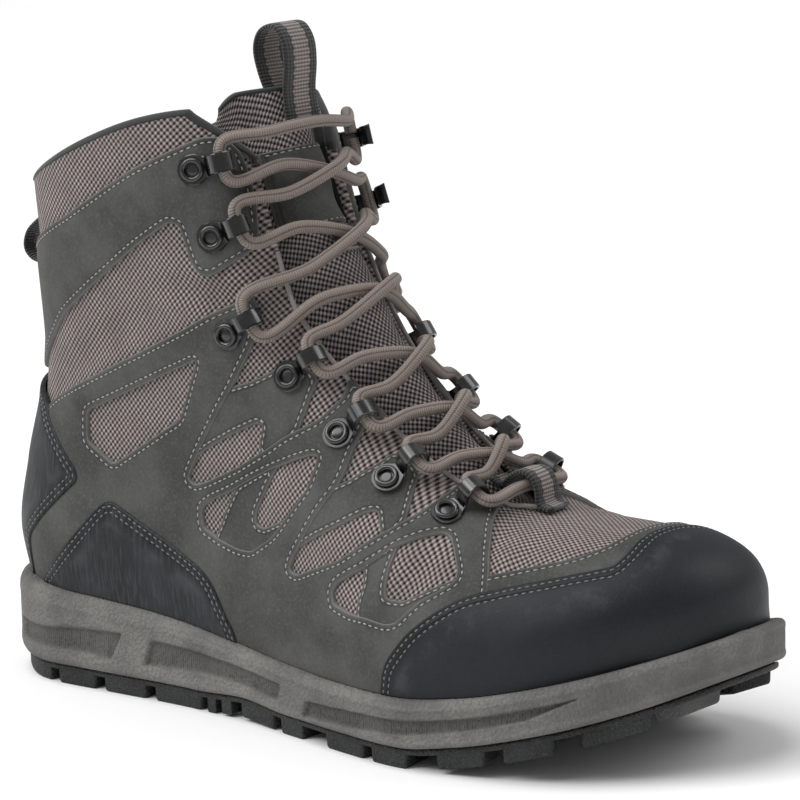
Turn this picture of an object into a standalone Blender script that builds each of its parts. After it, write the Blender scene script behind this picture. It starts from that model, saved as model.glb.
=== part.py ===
"""Right wading boot, standing empty on its sole.

Units are metres. The toe points along +X, the outer (lateral) side is at -Y, and the origin
lies on the ground under the middle of the heel.
"""
import math
from collections import namedtuple

import bmesh
import bpy
import numpy as np
from mathutils import Vector

# Overall sizes
SOLE_LENGTH = 0.312
HEEL_SETBACK = 0.050
BALL_WIDTH = 0.117
HEEL_HEIGHT = 0.036
SHAFT_HEIGHT = 0.214

# Sole
TOE_ROUND = 0.053
HEEL_ROUND = 0.040
TOE_SHIFT = 0.0138
TREAD_DEPTH = 0.0048
PLATE_THICKNESS = 0.0025
PLATE_INSET = 0.0025
WINDOW_DEPTH = 0.0018
LIP_INSET = 0.003
LUG_TAPER = 0.06    # share of its width that a lug loses towards the ground
INSOLE_THICKNESS = 0.0045
INSOLE_MARGIN = 0.0022

# Upper
FEATHER_INSET = 0.005
FEATHER_BLEND = 0.010
SIDE_SWELL = 0.002
UPPER_WALL = 0.0024
COLLAR_WALL = 0.0062
PANEL_THICKNESS = 0.0013
CAP_THICKNESS = 0.0017
BINDING_HEIGHT = 0.005
BINDING_THICKNESS = 0.0012
TONGUE_THICKNESS = 0.0045
TONGUE_OVERLAP = 0.012
TONGUE_SWELL = 0.005
TONGUE_CLEARANCE = 0.0022

# Lacing and webbing
LACE_DIAMETER = 0.0048
LACE_SIDES = 5
LACE_LIFT = 0.0032
BAR_DROP = 0.02     # chords between the first hooks and the lace's lowest bar
LACE_REACH = 0.8    # share of the throat's half width where the lace leaves its edge
HOOK_STRIP = 0.0011
HOOK_WIDTH = 0.0074
HOOK_BASE = 0.0065
HOOK_TUNNEL = 0.0064
WEBBING_WIDTH = 0.017
KEEPER_WIDTH = 0.0125
WEBBING_THICKNESS = 0.0018
PATCH_THICKNESS = 0.0012

# Clearance between pieces that touch
GAP = 0.0003
LACE_GAP = 0.0009

# Exponent of the rounded corners of the last: 2 is an ellipse, more is squarer
FULLNESS = 2.2

Plan = namedtuple("Plan", "along lateral medial")
SOLE_PLAN = [  # half widths as shares of half of BALL_WIDTH
    Plan(0.00, 0.70, 0.70),
    Plan(0.10, 0.71, 0.71),
    Plan(0.20, 0.70, 0.69),
    Plan(0.30, 0.69, 0.64),
    Plan(0.40, 0.73, 0.62),
    Plan(0.50, 0.83, 0.69),
    Plan(0.60, 0.94, 0.83),
    Plan(0.68, 1.00, 0.94),
    Plan(0.76, 0.98, 1.00),
    Plan(0.85, 0.90, 0.97),
    Plan(0.93, 0.80, 0.88),
    Plan(1.00, 0.72, 0.80),
]

Side = namedtuple("Side", "along ground edge")
SOLE_SIDE = [  # tread underside and top edge of the sole, as shares of HEEL_HEIGHT
    Side(0.00, 0.12, 1.04),
    Side(0.05, 0.03, 1.02),
    Side(0.10, 0.00, 1.00),
    Side(0.25, 0.00, 0.93),
    Side(0.34, 0.00, 0.85),
    Side(0.42, 0.04, 0.76),
    Side(0.50, 0.00, 0.70),
    Side(0.60, 0.00, 0.67),
    Side(0.68, 0.00, 0.68),
    Side(0.75, 0.08, 0.75),
    Side(0.85, 0.28, 0.94),
    Side(0.93, 0.50, 1.14),
    Side(1.00, 0.76, 1.36),
]

Spot = namedtuple("Spot", "along up")  # share of SOLE_LENGTH from the heel, share of SHAFT_HEIGHT
TOP_LINE = [
    Spot(0.974, 0.224), Spot(0.968, 0.280), Spot(0.949, 0.322), Spot(0.910, 0.350),
    Spot(0.853, 0.364), Spot(0.782, 0.371), Spot(0.712, 0.397), Spot(0.641, 0.453),
    Spot(0.571, 0.540), Spot(0.510, 0.650), Spot(0.465, 0.762), Spot(0.433, 0.874),
    Spot(0.410, 0.981), Spot(0.394, 1.084),
]
BACK_LINE = [
    Spot(0.019, 0.173), Spot(0.011, 0.257), Spot(0.024, 0.374), Spot(0.046, 0.491),
    Spot(0.056, 0.584), Spot(0.053, 0.701), Spot(0.048, 0.846),
]

Radius = namedtuple("Radius", "share radius")
TOP_ROUND = [  # rounding beside the top line, from the toe to the collar, in shares of BALL_WIDTH
    Radius(0.00, 0.444), Radius(0.10, 0.393), Radius(0.20, 0.359), Radius(0.33, 0.393),
    Radius(0.47, 0.444), Radius(1.00, 0.462),
]
BACK_ROUND = [Radius(0.0, 0.376), Radius(0.5, 0.402), Radius(1.0, 0.444)]

Shaft = namedtuple("Shaft", "up width")
SHAFT_WIDTH = [  # half widths of the shaft, as shares of half of BALL_WIDTH
    Shaft(0.19, 0.68), Shaft(0.33, 0.66), Shaft(0.47, 0.63), Shaft(0.58, 0.64), Shaft(0.70, 0.68),
    Shaft(0.86, 0.73), Shaft(1.00, 0.75),
]

Chord = namedtuple("Chord", "a share")
TOP_CHORDS = [Chord(0.0, 0.0), Chord(0.12, 0.12), Chord(0.6, 0.67), Chord(1.0, 0.935), Chord(1.1, 1.0)]
HEEL_CHORD = 0.60   # chords beyond this one end on the back line instead of the feather line
COLLAR_RISE = 0.009

Throat = namedtuple("Throat", "a half")
THROAT = [  # half opening of the throat on each chord
    Throat(0.29, 0.000), Throat(0.31, 0.050), Throat(0.35, 0.068), Throat(0.42, 0.082),
    Throat(0.49, 0.098), Throat(0.56, 0.120), Throat(0.64, 0.135), Throat(0.84, 0.132),
    Throat(0.92, 0.130), Throat(0.96, 0.190), Throat(1.00, 0.275),
]
CHORDS = [0.0, 0.02, 0.045, 0.075, 0.11, 0.15, 0.20, 0.25, 0.29, 0.31, 0.35, 0.42, 0.48, 0.53,
          0.56, 0.58, 0.592, 0.60, 0.64, 0.70, 0.76, 0.82, 0.88, 0.94, 1.0]
COLUMNS = 8

Hook = namedtuple("Hook", "a base tip closed")
HOOKS = [  # chord, and where its base and tip lie on that chord, from the toe up
    Hook(0.335, 0.172, 0.078, True), Hook(0.405, 0.192, 0.098, True), Hook(0.478, 0.205, 0.118, True),
    Hook(0.562, 0.215, 0.135, True), Hook(0.655, 0.275, 0.205, True), Hook(0.810, 0.265, 0.170, False),
    Hook(0.915, 0.278, 0.182, False),
]

SHAFT_PANEL = [  # band round the shaft below the mesh collar
    Spot(0.00, 0.690), Spot(0.125, 0.780), Spot(0.173, 0.813), Spot(0.231, 0.860), Spot(0.282, 0.902),
    Spot(0.324, 0.930), Spot(0.360, 0.958), Spot(0.380, 0.955), Spot(0.394, 0.930), Spot(0.402, 0.895),
    Spot(0.410, 0.850), Spot(0.420, 0.800), Spot(0.417, 0.770), Spot(0.381, 0.734), Spot(0.365, 0.734),
    Spot(0.353, 0.760), Spot(0.341, 0.810), Spot(0.328, 0.815), Spot(0.272, 0.766), Spot(0.218, 0.710),
    Spot(0.151, 0.640), Spot(0.112, 0.580), Spot(0.00, 0.480),
]
LOWER_PANEL = [  # web of the side, from the back over the ankle to the vamp and down to the sole
    Spot(-0.02, 0.400), Spot(0.125, 0.495), Spot(0.179, 0.533), Spot(0.234, 0.570), Spot(0.288, 0.607),
    Spot(0.343, 0.645), Spot(0.385, 0.678), Spot(0.470, 0.730), Spot(0.720, 0.500), Spot(0.708, 0.392),
    Spot(0.763, 0.285), Spot(0.737, 0.274), Spot(0.708, 0.248), Spot(0.686, 0.220), Spot(0.654, 0.164),
    Spot(0.634, 0.060), Spot(-0.02, 0.060),
]
PANEL_WINDOWS = [
    [Spot(0.183, 0.481), Spot(0.356, 0.593), Spot(0.327, 0.491), Spot(0.221, 0.397), Spot(0.183, 0.430)],
    [Spot(0.362, 0.449), Spot(0.442, 0.500), Spot(0.442, 0.472), Spot(0.407, 0.430), Spot(0.349, 0.393)],
    [Spot(0.362, 0.350), Spot(0.410, 0.383), Spot(0.378, 0.318)],
    [Spot(0.522, 0.458), Spot(0.506, 0.397), Spot(0.449, 0.341), Spot(0.442, 0.355), Spot(0.468, 0.411)],
    [Spot(0.615, 0.388), Spot(0.625, 0.369), Spot(0.519, 0.271), Spot(0.503, 0.276), Spot(0.526, 0.318),
     Spot(0.574, 0.364)],
    [Spot(0.587, 0.266), Spot(0.619, 0.299), Spot(0.619, 0.248)],
    [Spot(0.654, 0.322), Spot(0.692, 0.350), Spot(0.705, 0.346), Spot(0.724, 0.299), Spot(0.676, 0.271),
     Spot(0.663, 0.276)],
    [Spot(0.407, 0.547), Spot(0.426, 0.621), Spot(0.500, 0.700), Spot(0.490, 0.600), Spot(0.452, 0.580)],
    [Spot(0.497, 0.500), Spot(0.503, 0.575), Spot(0.580, 0.640), Spot(0.545, 0.560), Spot(0.529, 0.528)],
    [Spot(0.558, 0.421), Spot(0.564, 0.495), Spot(0.640, 0.560), Spot(0.610, 0.480), Spot(0.596, 0.467)],
    [Spot(0.651, 0.388), Spot(0.635, 0.435), Spot(0.690, 0.480), Spot(0.675, 0.400), Spot(0.670, 0.393)],
]
HEEL_PANEL = [  # rubbered panel above the sole
    Spot(0.088, 0.060), Spot(0.096, 0.178), Spot(0.205, 0.328), Spot(0.222, 0.334), Spot(0.356, 0.248),
    Spot(0.375, 0.224), Spot(0.407, 0.145), Spot(0.415, 0.060),
]
HEEL_PATCH = [  # rubbered patch round the back of the heel
    Spot(-0.02, 0.560), Spot(0.096, 0.481), Spot(0.165, 0.378), Spot(0.167, 0.360), Spot(0.119, 0.299),
    Spot(0.077, 0.243), Spot(0.060, 0.060), Spot(-0.02, 0.060),
]
TOE_CAP = [
    Spot(0.641, 0.060), Spot(0.661, 0.164), Spot(0.693, 0.220), Spot(0.715, 0.248), Spot(0.744, 0.274),
    Spot(0.788, 0.292), Spot(0.843, 0.315), Spot(0.891, 0.330), Spot(0.889, 0.344), Spot(0.882, 0.360),
    Spot(0.875, 0.420), Spot(1.050, 0.420), Spot(1.050, 0.060),
]


def column(table, name):
    return np.array([getattr(row, name) for row in table], float)


def smooth(x, y, at):
    """Cubic through the points that never runs past them."""
    step = np.diff(y) / np.diff(x)
    before, after = step[:-1], step[1:]
    both = before * after > 0
    total = np.where(both, before + after, 1.0)
    inner = np.where(both, 2 * before * after / total, 0.0)
    slope = np.concatenate([step[:1], inner, step[-1:]])
    at = np.asarray(at, float)
    i = np.clip(np.searchsorted(x, at) - 1, 0, len(x) - 2)
    h = x[i + 1] - x[i]
    t = np.clip((at - x[i]) / h, 0, 1)
    start = (1 + 2 * t) * (1 - t) ** 2 * y[i] + t * (1 - t) ** 2 * h * slope[i]
    end = t * t * (3 - 2 * t) * y[i + 1] + t * t * (t - 1) * h * slope[i + 1]
    return start + end


def read(table, name, at):
    return smooth(column(table, table[0]._fields[0]), column(table, name), at)


def along(x):
    return np.clip((x + HEEL_SETBACK) / SOLE_LENGTH, 0, 1)


def spot(point):
    return point.along * SOLE_LENGTH - HEEL_SETBACK, point.up * SHAFT_HEIGHT


def ground(x):
    return read(SOLE_SIDE, "ground", along(x)) * HEEL_HEIGHT


def edge(x):
    return read(SOLE_SIDE, "edge", along(x)) * HEEL_HEIGHT


def soft_step(t):
    t = np.clip(t, 0, 1)
    return t * t * (3 - 2 * t)


class Line:
    """Smooth side-elevation line that starts on the sole, with the signed distance from it."""

    def __init__(self, spots, inside, count=160):
        places = np.array([spot(s) for s in spots])
        places[0, 1] = edge(places[0, 0]) + GAP
        run = np.append(0, np.cumsum(np.linalg.norm(np.diff(places, axis=0), axis=1)))
        at = np.linspace(0, run[-1], count)
        self.x = smooth(run, places[:, 0], at)
        self.z = smooth(run, places[:, 1], at)
        self.run = np.append(0, np.cumsum(np.hypot(np.diff(self.x), np.diff(self.z))))
        self.inside = inside

    def at(self, share):
        run = np.asarray(share, float) * self.run[-1]
        return np.interp(run, self.run, self.x), np.interp(run, self.run, self.z)

    def distance(self, x, z):
        """Distance, positive inside the boot, and the share of the nearest point."""
        ux = np.diff(self.x)
        uz = np.diff(self.z)
        dx = x[..., None] - self.x[:-1]
        dz = z[..., None] - self.z[:-1]
        low = np.zeros(len(ux))
        high = np.ones(len(ux))
        low[0] = -np.inf
        high[-1] = np.inf
        t = np.clip((dx * ux + dz * uz) / (ux * ux + uz * uz), low, high)
        gap = np.hypot(dx - t * ux, dz - t * uz)
        nearest = np.argmin(gap, axis=-1)[..., None]

        def pick(values):
            return np.take_along_axis(values, nearest, -1)[..., 0]

        share = pick(self.run[:-1] + t * np.diff(self.run)) / self.run[-1]
        return pick(gap * np.sign(ux * dz - uz * dx)) * self.inside, share


TOP = Line(TOP_LINE, 1)
BACK = Line(BACK_LINE, -1)


def centre(x):
    """The toe end of the last bends towards the big toe."""
    return TOE_SHIFT * np.clip((along(x) - 0.6) / 0.4, 0, 1) ** 2


def half_width(x, z, side):
    name = "lateral" if side < 0 else "medial"
    foot = read(SOLE_PLAN, name, along(x)) * BALL_WIDTH / 2 - FEATHER_INSET
    foot = foot + SIDE_SWELL * np.sin(np.clip((z - edge(x)) / (0.19 * SHAFT_HEIGHT), 0, 1) * math.pi)
    shaft = np.interp(z / SHAFT_HEIGHT, column(SHAFT_WIDTH, "up"), column(SHAFT_WIDTH, "width"))
    up = soft_step((z / SHAFT_HEIGHT - 0.23) / 0.28)
    back = soft_step((0.64 - along(x)) / 0.26)
    return foot + (shaft * BALL_WIDTH / 2 - foot) * up * back


def rounding(gap, radius):
    return 1 - np.abs(1 - np.clip(gap / radius, -1, 1)) ** FULLNESS


def fill(x, z):
    """Share of the half width, to the power of FULLNESS, that the last has at a side-view point."""
    top, top_share = TOP.distance(x, z)
    back, back_share = BACK.distance(x, z)
    top_radius = BALL_WIDTH * np.interp(top_share, column(TOP_ROUND, "share"), column(TOP_ROUND, "radius"))
    back_radius = BALL_WIDTH * np.interp(back_share, column(BACK_ROUND, "share"), column(BACK_ROUND, "radius"))
    return rounding(top, top_radius) * rounding(back, back_radius)


def height_field(x, z, side):
    return centre(x) + side * half_width(x, z, side) * np.maximum(fill(x, z), 0) ** (1 / FULLNESS)


def normal(x, y, z, side):
    """Outward normal of the last, from the gradient of its implicit form."""
    step = 0.0004

    def form(px, py, pz):
        return (np.abs(py - centre(px)) / half_width(px, pz, side)) ** FULLNESS - fill(px, pz)

    gx = form(x + step, y, z) - form(x - step, y, z)
    gy = form(x, y + step, z) - form(x, y - step, z)
    gz = form(x, y, z + step) - form(x, y, z - step)
    size = np.sqrt(gx * gx + gy * gy + gz * gz)
    return np.stack([gx, gy, gz], -1) / size[..., None]


def feather(share):
    """Point of the line where the upper meets the sole, from the toe to the heel."""
    x = TOP.x[0] + (BACK.x[0] - TOP.x[0]) * share
    return x, edge(x) + GAP


def patch(a, b):
    """Side-view point of chord a (0 toe, 1 collar) at b (0 top line, 1 feather or back line)."""
    top_x, top_z = TOP.at(np.interp(a, column(TOP_CHORDS, "a"), column(TOP_CHORDS, "share")))
    foot_x, foot_z = feather(np.clip(a / HEEL_CHORD, 0, 1))
    back_x, back_z = BACK.at(np.clip((a - HEEL_CHORD) / (1 - HEEL_CHORD), 0, 1))
    on_foot = a < HEEL_CHORD
    low_x = np.where(on_foot, foot_x, back_x)
    low_z = np.where(on_foot, foot_z, back_z)
    q = (1 - np.cos(math.pi * b)) / 2
    rise = COLLAR_RISE * np.clip(a, 0, 1) ** 6 * 4 * q * (1 - q) * (1.3 - q)
    return top_x + (low_x - top_x) * q, top_z + (low_z - top_z) * q + rise


def skin(a, b, side, out):
    """Points at a distance out from the last's surface, which goes out level beside the sole."""
    a = np.asarray(a, float)
    b = np.asarray(b, float)
    x, z = patch(a, b)
    y = height_field(x, z, side)
    n = normal(x, y, z, side)
    low = 1 - soft_step((z - edge(x) - GAP) / FEATHER_BLEND)
    n[..., 2] *= 1 - low
    n[..., 1] = np.where(b < 0.001, 0.0, n[..., 1])
    n /= np.linalg.norm(n, axis=-1)[..., None]
    place = np.stack([x, y, z], -1) + n * np.asarray(out)[..., None]
    place[..., 2] += low * (edge(place[..., 0]) - edge(x))
    return place


def wall(a, b):
    """Thickness of the upper: thin round the foot, padded at the collar."""
    z = patch(a, b)[1]
    return UPPER_WALL + (COLLAR_WALL - UPPER_WALL) * soft_step((z / SHAFT_HEIGHT - 0.68) / 0.16)


def throat(a):
    return np.where(a < THROAT[0].a, 0.0, np.interp(a, column(THROAT, "a"), column(THROAT, "half")))


def material(name, colour, roughness, metallic=0.0):
    made = bpy.data.materials.get(name)
    if made is None:
        made = bpy.data.materials.new(name)
        made.use_nodes = True
        shader = made.node_tree.nodes["Principled BSDF"]
        shader.inputs["Base Color"].default_value = (*colour, 1.0)
        shader.inputs["Roughness"].default_value = roughness
        shader.inputs["Metallic"].default_value = metallic
    return made


FABRIC = ("taupe mesh fabric", (0.16, 0.14, 0.13), 0.9)
NUBUCK = ("grey green nubuck", (0.07, 0.075, 0.07), 0.85)
TOE_RUBBER = ("black rubbered leather", (0.015, 0.015, 0.016), 0.6)
SOLE_FOAM = ("grey sole foam", (0.10, 0.10, 0.095), 0.8)
TREAD_RUBBER = ("black tread rubber", (0.012, 0.012, 0.012), 0.7)
LINING = ("dark lining", (0.03, 0.03, 0.03), 0.95)
HOOK_METAL = ("black enamelled metal", (0.01, 0.01, 0.01), 0.3)
WEBBING = ("two tone webbing", (0.08, 0.075, 0.07), 0.9)
LACE_CORD = ("taupe lace cord", (0.17, 0.15, 0.14), 0.85)


def add_object(name, points, faces, finish):
    """One object, with its faces turned outwards."""
    mesh = bpy.data.meshes.new(name)
    mesh.from_pydata([tuple(map(float, p)) for p in points], [], faces)
    made = bpy.data.objects.new(name, mesh)
    bpy.context.scene.collection.objects.link(made)
    made.data.materials.append(material(*finish))
    tidy = bmesh.new()
    tidy.from_mesh(mesh)
    bmesh.ops.recalc_face_normals(tidy, faces=tidy.faces)
    if tidy.calc_volume(signed=True) < 0:
        bmesh.ops.reverse_faces(tidy, faces=tidy.faces)
    tidy.to_mesh(mesh)
    tidy.free()
    return made


def thicken(faces, outer, inner):
    """Closed shell between two copies of an open surface."""
    count = len(outer)
    points = list(outer) + list(inner)
    shell = [tuple(face) for face in faces]
    shell += [tuple(count + i for i in reversed(face)) for face in faces]
    edges = {}
    for face in faces:
        for i, start in enumerate(face):
            end = face[(i + 1) % len(face)]
            edges[(start, end)] = True
    for start, end in edges:
        if (end, start) not in edges:
            shell.append((end, start, count + start, count + end))
    return points, shell


def surface_grid(rows, start, stop, sides, join_top, join_back):
    """Grid over the last: its (a, b, side) places and its faces.

    start and stop give the first and last b of each chord. The two sides share their points on
    the top line where it is closed, and on the back line.
    """
    places = []
    index = {}
    number = {}
    for side in sides:
        for i, a in enumerate(rows):
            for j in range(COLUMNS + 1):
                b = start(a) + (stop(a) - start(a)) * j / COLUMNS
                shared = (join_top and b < 1e-6) or (join_back and b > 0.999 and a >= HEEL_CHORD)
                key = (i, j, 0 if shared else side)
                if a < 1e-6:
                    key = (i, 0, 0)
                if key not in number:
                    number[key] = len(places)
                    places.append((a, b, side))
                index[(side, i, j)] = number[key]
    faces = []
    for side in sides:
        for i in range(len(rows) - 1):
            for j in range(COLUMNS):
                corners = [index[(side, i, j)], index[(side, i + 1, j)],
                           index[(side, i + 1, j + 1)], index[(side, i, j + 1)]]
                for triangle in (corners[:3], [corners[0], corners[2], corners[3]]):
                    if len(set(triangle)) == 3:
                        faces.append(tuple(triangle if side < 0 else triangle[::-1]))
    return np.array(places), faces


def offset(places, out):
    points = np.empty((len(places), 3))
    out = np.broadcast_to(out, len(places))
    for side in (-1, 1):
        pick = places[:, 2] == side
        if pick.any():
            points[pick] = skin(places[pick, 0], places[pick, 1], side, out[pick])
    return points


def cutter(name, outline, near, far):
    """Prism along Y over a side-view outline, used to cut and then hidden."""
    corners = [spot(s) for s in outline]
    count = len(corners)
    points = [(x, near, z) for x, z in corners] + [(x, far, z) for x, z in corners]
    faces = [tuple(range(count)), tuple(range(2 * count - 1, count - 1, -1))]
    for i in range(count):
        j = (i + 1) % count
        faces.append((i, j, count + j, count + i))
    made = add_object(name, points, faces, LINING)
    made.hide_render = True
    made.display_type = "WIRE"
    made.hide_set(True)
    return made


def cut(target, tool, operation, solver="EXACT"):
    modifier = target.modifiers.new(operation.title(), "BOOLEAN")
    modifier.object = tool
    modifier.operation = operation
    modifier.solver = solver


def widened(outline, margin):
    """The outline with each corner pushed out by a margin."""
    corners = [Vector(spot(s)) for s in outline]
    area = sum(a.x * b.y - b.x * a.y for a, b in zip(corners, corners[1:] + corners[:1]))
    turn = 1 if area > 0 else -1
    moved = []
    for i, here in enumerate(corners):
        back = (here - corners[i - 1]).normalized()
        ahead = (corners[(i + 1) % len(corners)] - here).normalized()
        out = Vector((back.y + ahead.y, -back.x - ahead.x)) * turn
        scale = margin / max(0.5, out.length / 2) / max(out.length, 1e-9)
        new = here + out * scale
        moved.append(Spot((new.x + HEEL_SETBACK) / SOLE_LENGTH, new.y / SHAFT_HEIGHT))
    return moved


# Upper and insole


def build_upper():
    places, faces = surface_grid(CHORDS, throat, lambda a: 1.0, (-1, 1), True, True)
    outer = offset(places, 0.0)
    inner = offset(places, -wall(places[:, 0], places[:, 1]))
    add_object("upper", *thicken(faces, outer, inner), FABRIC)


def build_insole():
    """Footbed on the sole, inside the upper."""
    inset = UPPER_WALL + INSOLE_MARGIN
    shares = 0.025 + (HEEL_CHORD - 0.030) * (1 - np.cos(np.linspace(0, 1, 22) * math.pi)) / 2
    points = []
    for share in shares:
        for side in (-1, 1):
            x, y, low = skin(share, 1.0, side, -inset)
            points += [(x, y, low), (x, y, low + INSOLE_THICKNESS)]
    faces = [(0, 1, 3, 2)]
    last = 4 * (len(shares) - 1)
    faces.append((last, last + 2, last + 3, last + 1))
    for i in range(len(shares) - 1):
        n = 4 * i
        faces += [(n, n + 2, n + 6, n + 4), (n + 1, n + 5, n + 7, n + 3),
                  (n, n + 4, n + 5, n + 1), (n + 2, n + 3, n + 7, n + 6)]
    add_object("insole", points, faces, LINING)


# Overlays on the upper


def build_panel(name, side, outline, holes, finish):
    """Overlay cut from a slab over one side of the upper."""
    places, faces = surface_grid(CHORDS, throat, lambda a: 1.0, (side,), False, False)
    shell = thicken(faces, offset(places, GAP + PANEL_THICKNESS), offset(places, GAP))
    made = add_object(name, *shell, finish)
    near = side * 2 * GAP
    far = side * BALL_WIDTH
    cut(made, cutter(name + "_shape", outline, near, far), "INTERSECT", "MANIFOLD")
    for i, hole in enumerate(holes):
        cut(made, cutter(f"{name}_hole_{i}", hole, near - side * BALL_WIDTH, far), "DIFFERENCE", "MANIFOLD")


def build_overlays():
    for side, word in ((-1, "lateral"), (1, "medial")):
        neighbours = [widened(HEEL_PANEL, 2 * GAP), widened(HEEL_PATCH, 2 * GAP)]
        build_panel("shaft_panel_" + word, side, SHAFT_PANEL, [], NUBUCK)
        build_panel("side_panel_" + word, side, LOWER_PANEL, PANEL_WINDOWS + neighbours, NUBUCK)
        build_panel("heel_panel_" + word, side, HEEL_PANEL, [widened(HEEL_PATCH, 2 * GAP)], TOE_RUBBER)
        build_panel("heel_patch_" + word, side, HEEL_PATCH, [], TOE_RUBBER)


def build_toe_cap():
    rows = [a for a in CHORDS if a <= THROAT[0].a]
    places, faces = surface_grid(rows, lambda a: 0.0, lambda a: 1.0, (-1, 1), True, True)
    shell = thicken(faces, offset(places, GAP + CAP_THICKNESS), offset(places, GAP))
    made = add_object("toe_cap", *shell, TOE_RUBBER)
    cut(made, cutter("toe_cap_shape", TOE_CAP, -BALL_WIDTH, BALL_WIDTH), "INTERSECT", "MANIFOLD")


def build_binding():
    """Rolled edge outside the collar's top, in two halves."""
    for side, word in ((-1, "lateral"), (1, "medial")):
        shares = np.linspace(0, 1, 15)
        rim = []
        for share in shares:
            b = THROAT[-1].half + (0.985 - THROAT[-1].half) * share
            top = skin(1.0, b, side, GAP)
            below = skin(0.97, b, side, GAP)
            down = (below - top) / np.linalg.norm(below - top)
            out = skin(1.0, b, side, GAP + BINDING_THICKNESS) - top
            rim.append([top, top + out, top + out + down * BINDING_HEIGHT, top + down * BINDING_HEIGHT])
        points = [corner for ring in rim for corner in ring]
        last = 4 * (len(rim) - 1)
        faces = [(0, 1, 2, 3), (last + 3, last + 2, last + 1, last)]
        for i in range(len(rim) - 1):
            for k in range(4):
                n = 4 * i
                m = (k + 1) % 4
                faces.append((n + k, n + m, n + 4 + m, n + 4 + k))
        add_object("collar_binding_" + word, points, faces, LINING)


# Tongue


def tongue_out(a, t):
    """Offset of the tongue's face, which swells outwards between the throat's edges."""
    inside = wall(a, throat(a)) + TONGUE_CLEARANCE
    swell = np.clip(1 - t * t, 0, 1) ** 2 * soft_step((a - THROAT[0].a) / 0.12)
    return -inside + TONGUE_SWELL * swell


def tongue_point(a, t, depth):
    """Point of the tongue: t is -1 at the throat's lateral edge, and -2 where the tongue ends."""
    side = -1 if t < 0 else 1
    overlap = TONGUE_OVERLAP / (0.42 * SHAFT_HEIGHT) * (1 - 0.5 * soft_step((a - 0.93) / 0.07))
    half = np.maximum(throat(np.minimum(a, 0.92)), TONGUE_FOOT)
    b = half * min(abs(t), 1.0) + overlap * max(abs(t) - 1.0, 0.0)
    return skin(a, b, side, tongue_out(a, t) - depth)


PATCH_ROWS = [0.77, 0.82, 0.87, 0.92]
PATCH_SHARES = [-0.85, -0.4, 0.0, 0.4, 0.85]
TONGUE_FOOT = 0.05   # half width of the tongue's foot, under the vamp
TONGUE_ROWS = [0.26, 0.29, 0.31, 0.34, 0.37, 0.42, 0.48, 0.54, 0.60, 0.66, 0.72, *PATCH_ROWS, 0.97, 1.005, 1.035]
TONGUE_SHARES = [-2.0, -1.5, -1.0, *PATCH_SHARES, 1.0, 1.5, 2.0]


def tongue_layer(rows, shares, depth):
    return [tongue_point(np.array(a), t, depth) for a in rows for t in shares]


def tongue_faces(rows, shares):
    wide = len(shares)
    faces = []
    for i in range(len(rows) - 1):
        for j in range(wide - 1):
            n = i * wide + j
            faces += [(n, n + wide, n + wide + 1), (n, n + wide + 1, n + 1)]
    return faces


def build_tongue():
    faces = tongue_faces(TONGUE_ROWS, TONGUE_SHARES)
    outer = tongue_layer(TONGUE_ROWS, TONGUE_SHARES, 0.0)
    inner = tongue_layer(TONGUE_ROWS, TONGUE_SHARES, TONGUE_THICKNESS)
    add_object("tongue", *thicken(faces, outer, inner), FABRIC)


def build_patch():
    """Plain leather patch on the tongue between the open hooks."""
    faces = tongue_faces(PATCH_ROWS, PATCH_SHARES)
    outer = tongue_layer(PATCH_ROWS, PATCH_SHARES, -GAP - PATCH_THICKNESS)
    inner = tongue_layer(PATCH_ROWS, PATCH_SHARES, -GAP)
    add_object("tongue_patch", *thicken(faces, outer, inner), NUBUCK)


# Sole


def rounded(t):
    t = np.clip(t, 0, 1)
    return (1 - (1 - t) ** 2.1) ** (1 / 2.1)


Row = namedtuple("Row", "share inset")
MIDSOLE_ROWS = [  # height between the tread and the top edge, inset as a share of LIP_INSET
    Row(1.00, 1.0), Row(0.93, 0.27), Row(0.74, 0.0), Row(0.70, 0.0), Row(0.36, 0.0), Row(0.32, 0.0),
    Row(0.10, 0.0), Row(0.00, 0.4),
]
Window = namedtuple("Window", "start stop")
MIDSOLE_WINDOWS = [Window(0.07, 0.24), Window(0.29, 0.52), Window(0.56, 0.80)]


def sole_stations():
    stations = list((1 - np.cos(np.linspace(0.03, 0.97, 26) * math.pi)) / 2)
    for window in MIDSOLE_WINDOWS:
        for end in window:
            stations = [s for s in stations if abs(s - end) > 0.008]
            stations += [end - 0.002, end + 0.002]
    return np.array(sorted(stations))


def sole_point(share, side, level, inset):
    """Point of the sole's side at a share of its length and height."""
    step = 0.001

    def plan(s):
        px = s * SOLE_LENGTH - HEEL_SETBACK
        name = "lateral" if side < 0 else "medial"
        ends = rounded(s * SOLE_LENGTH / HEEL_ROUND) * rounded((1 - s) * SOLE_LENGTH / TOE_ROUND)
        return np.array([px, centre(px) + side * read(SOLE_PLAN, name, s) * BALL_WIDTH / 2 * ends])

    here = plan(share)
    run = plan(min(share + step, 1 - step / 4)) - plan(max(share - step, step / 4))
    run /= np.linalg.norm(run)
    inward = np.array([side * run[1], -side * run[0]])
    x, y = here + inward * inset
    low = ground(x) + TREAD_DEPTH + PLATE_THICKNESS + GAP
    return (x, y, low + (edge(x) - low) * level)


def in_window(share, level):
    inside = any(w.start < share < w.stop for w in MIDSOLE_WINDOWS)
    return inside and 0.34 < level < 0.72


def build_midsole():
    stations = sole_stations()
    rings = []
    for level, inset in MIDSOLE_ROWS:
        ring = []
        for side, order in ((-1, stations), (1, stations[::-1])):
            for share in order:
                depth = inset * LIP_INSET + WINDOW_DEPTH * in_window(share, level)
                ring.append(sole_point(share, side, level, depth))
        rings.append(ring)
    add_rings("midsole", rings, len(stations), SOLE_FOAM)


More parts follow.
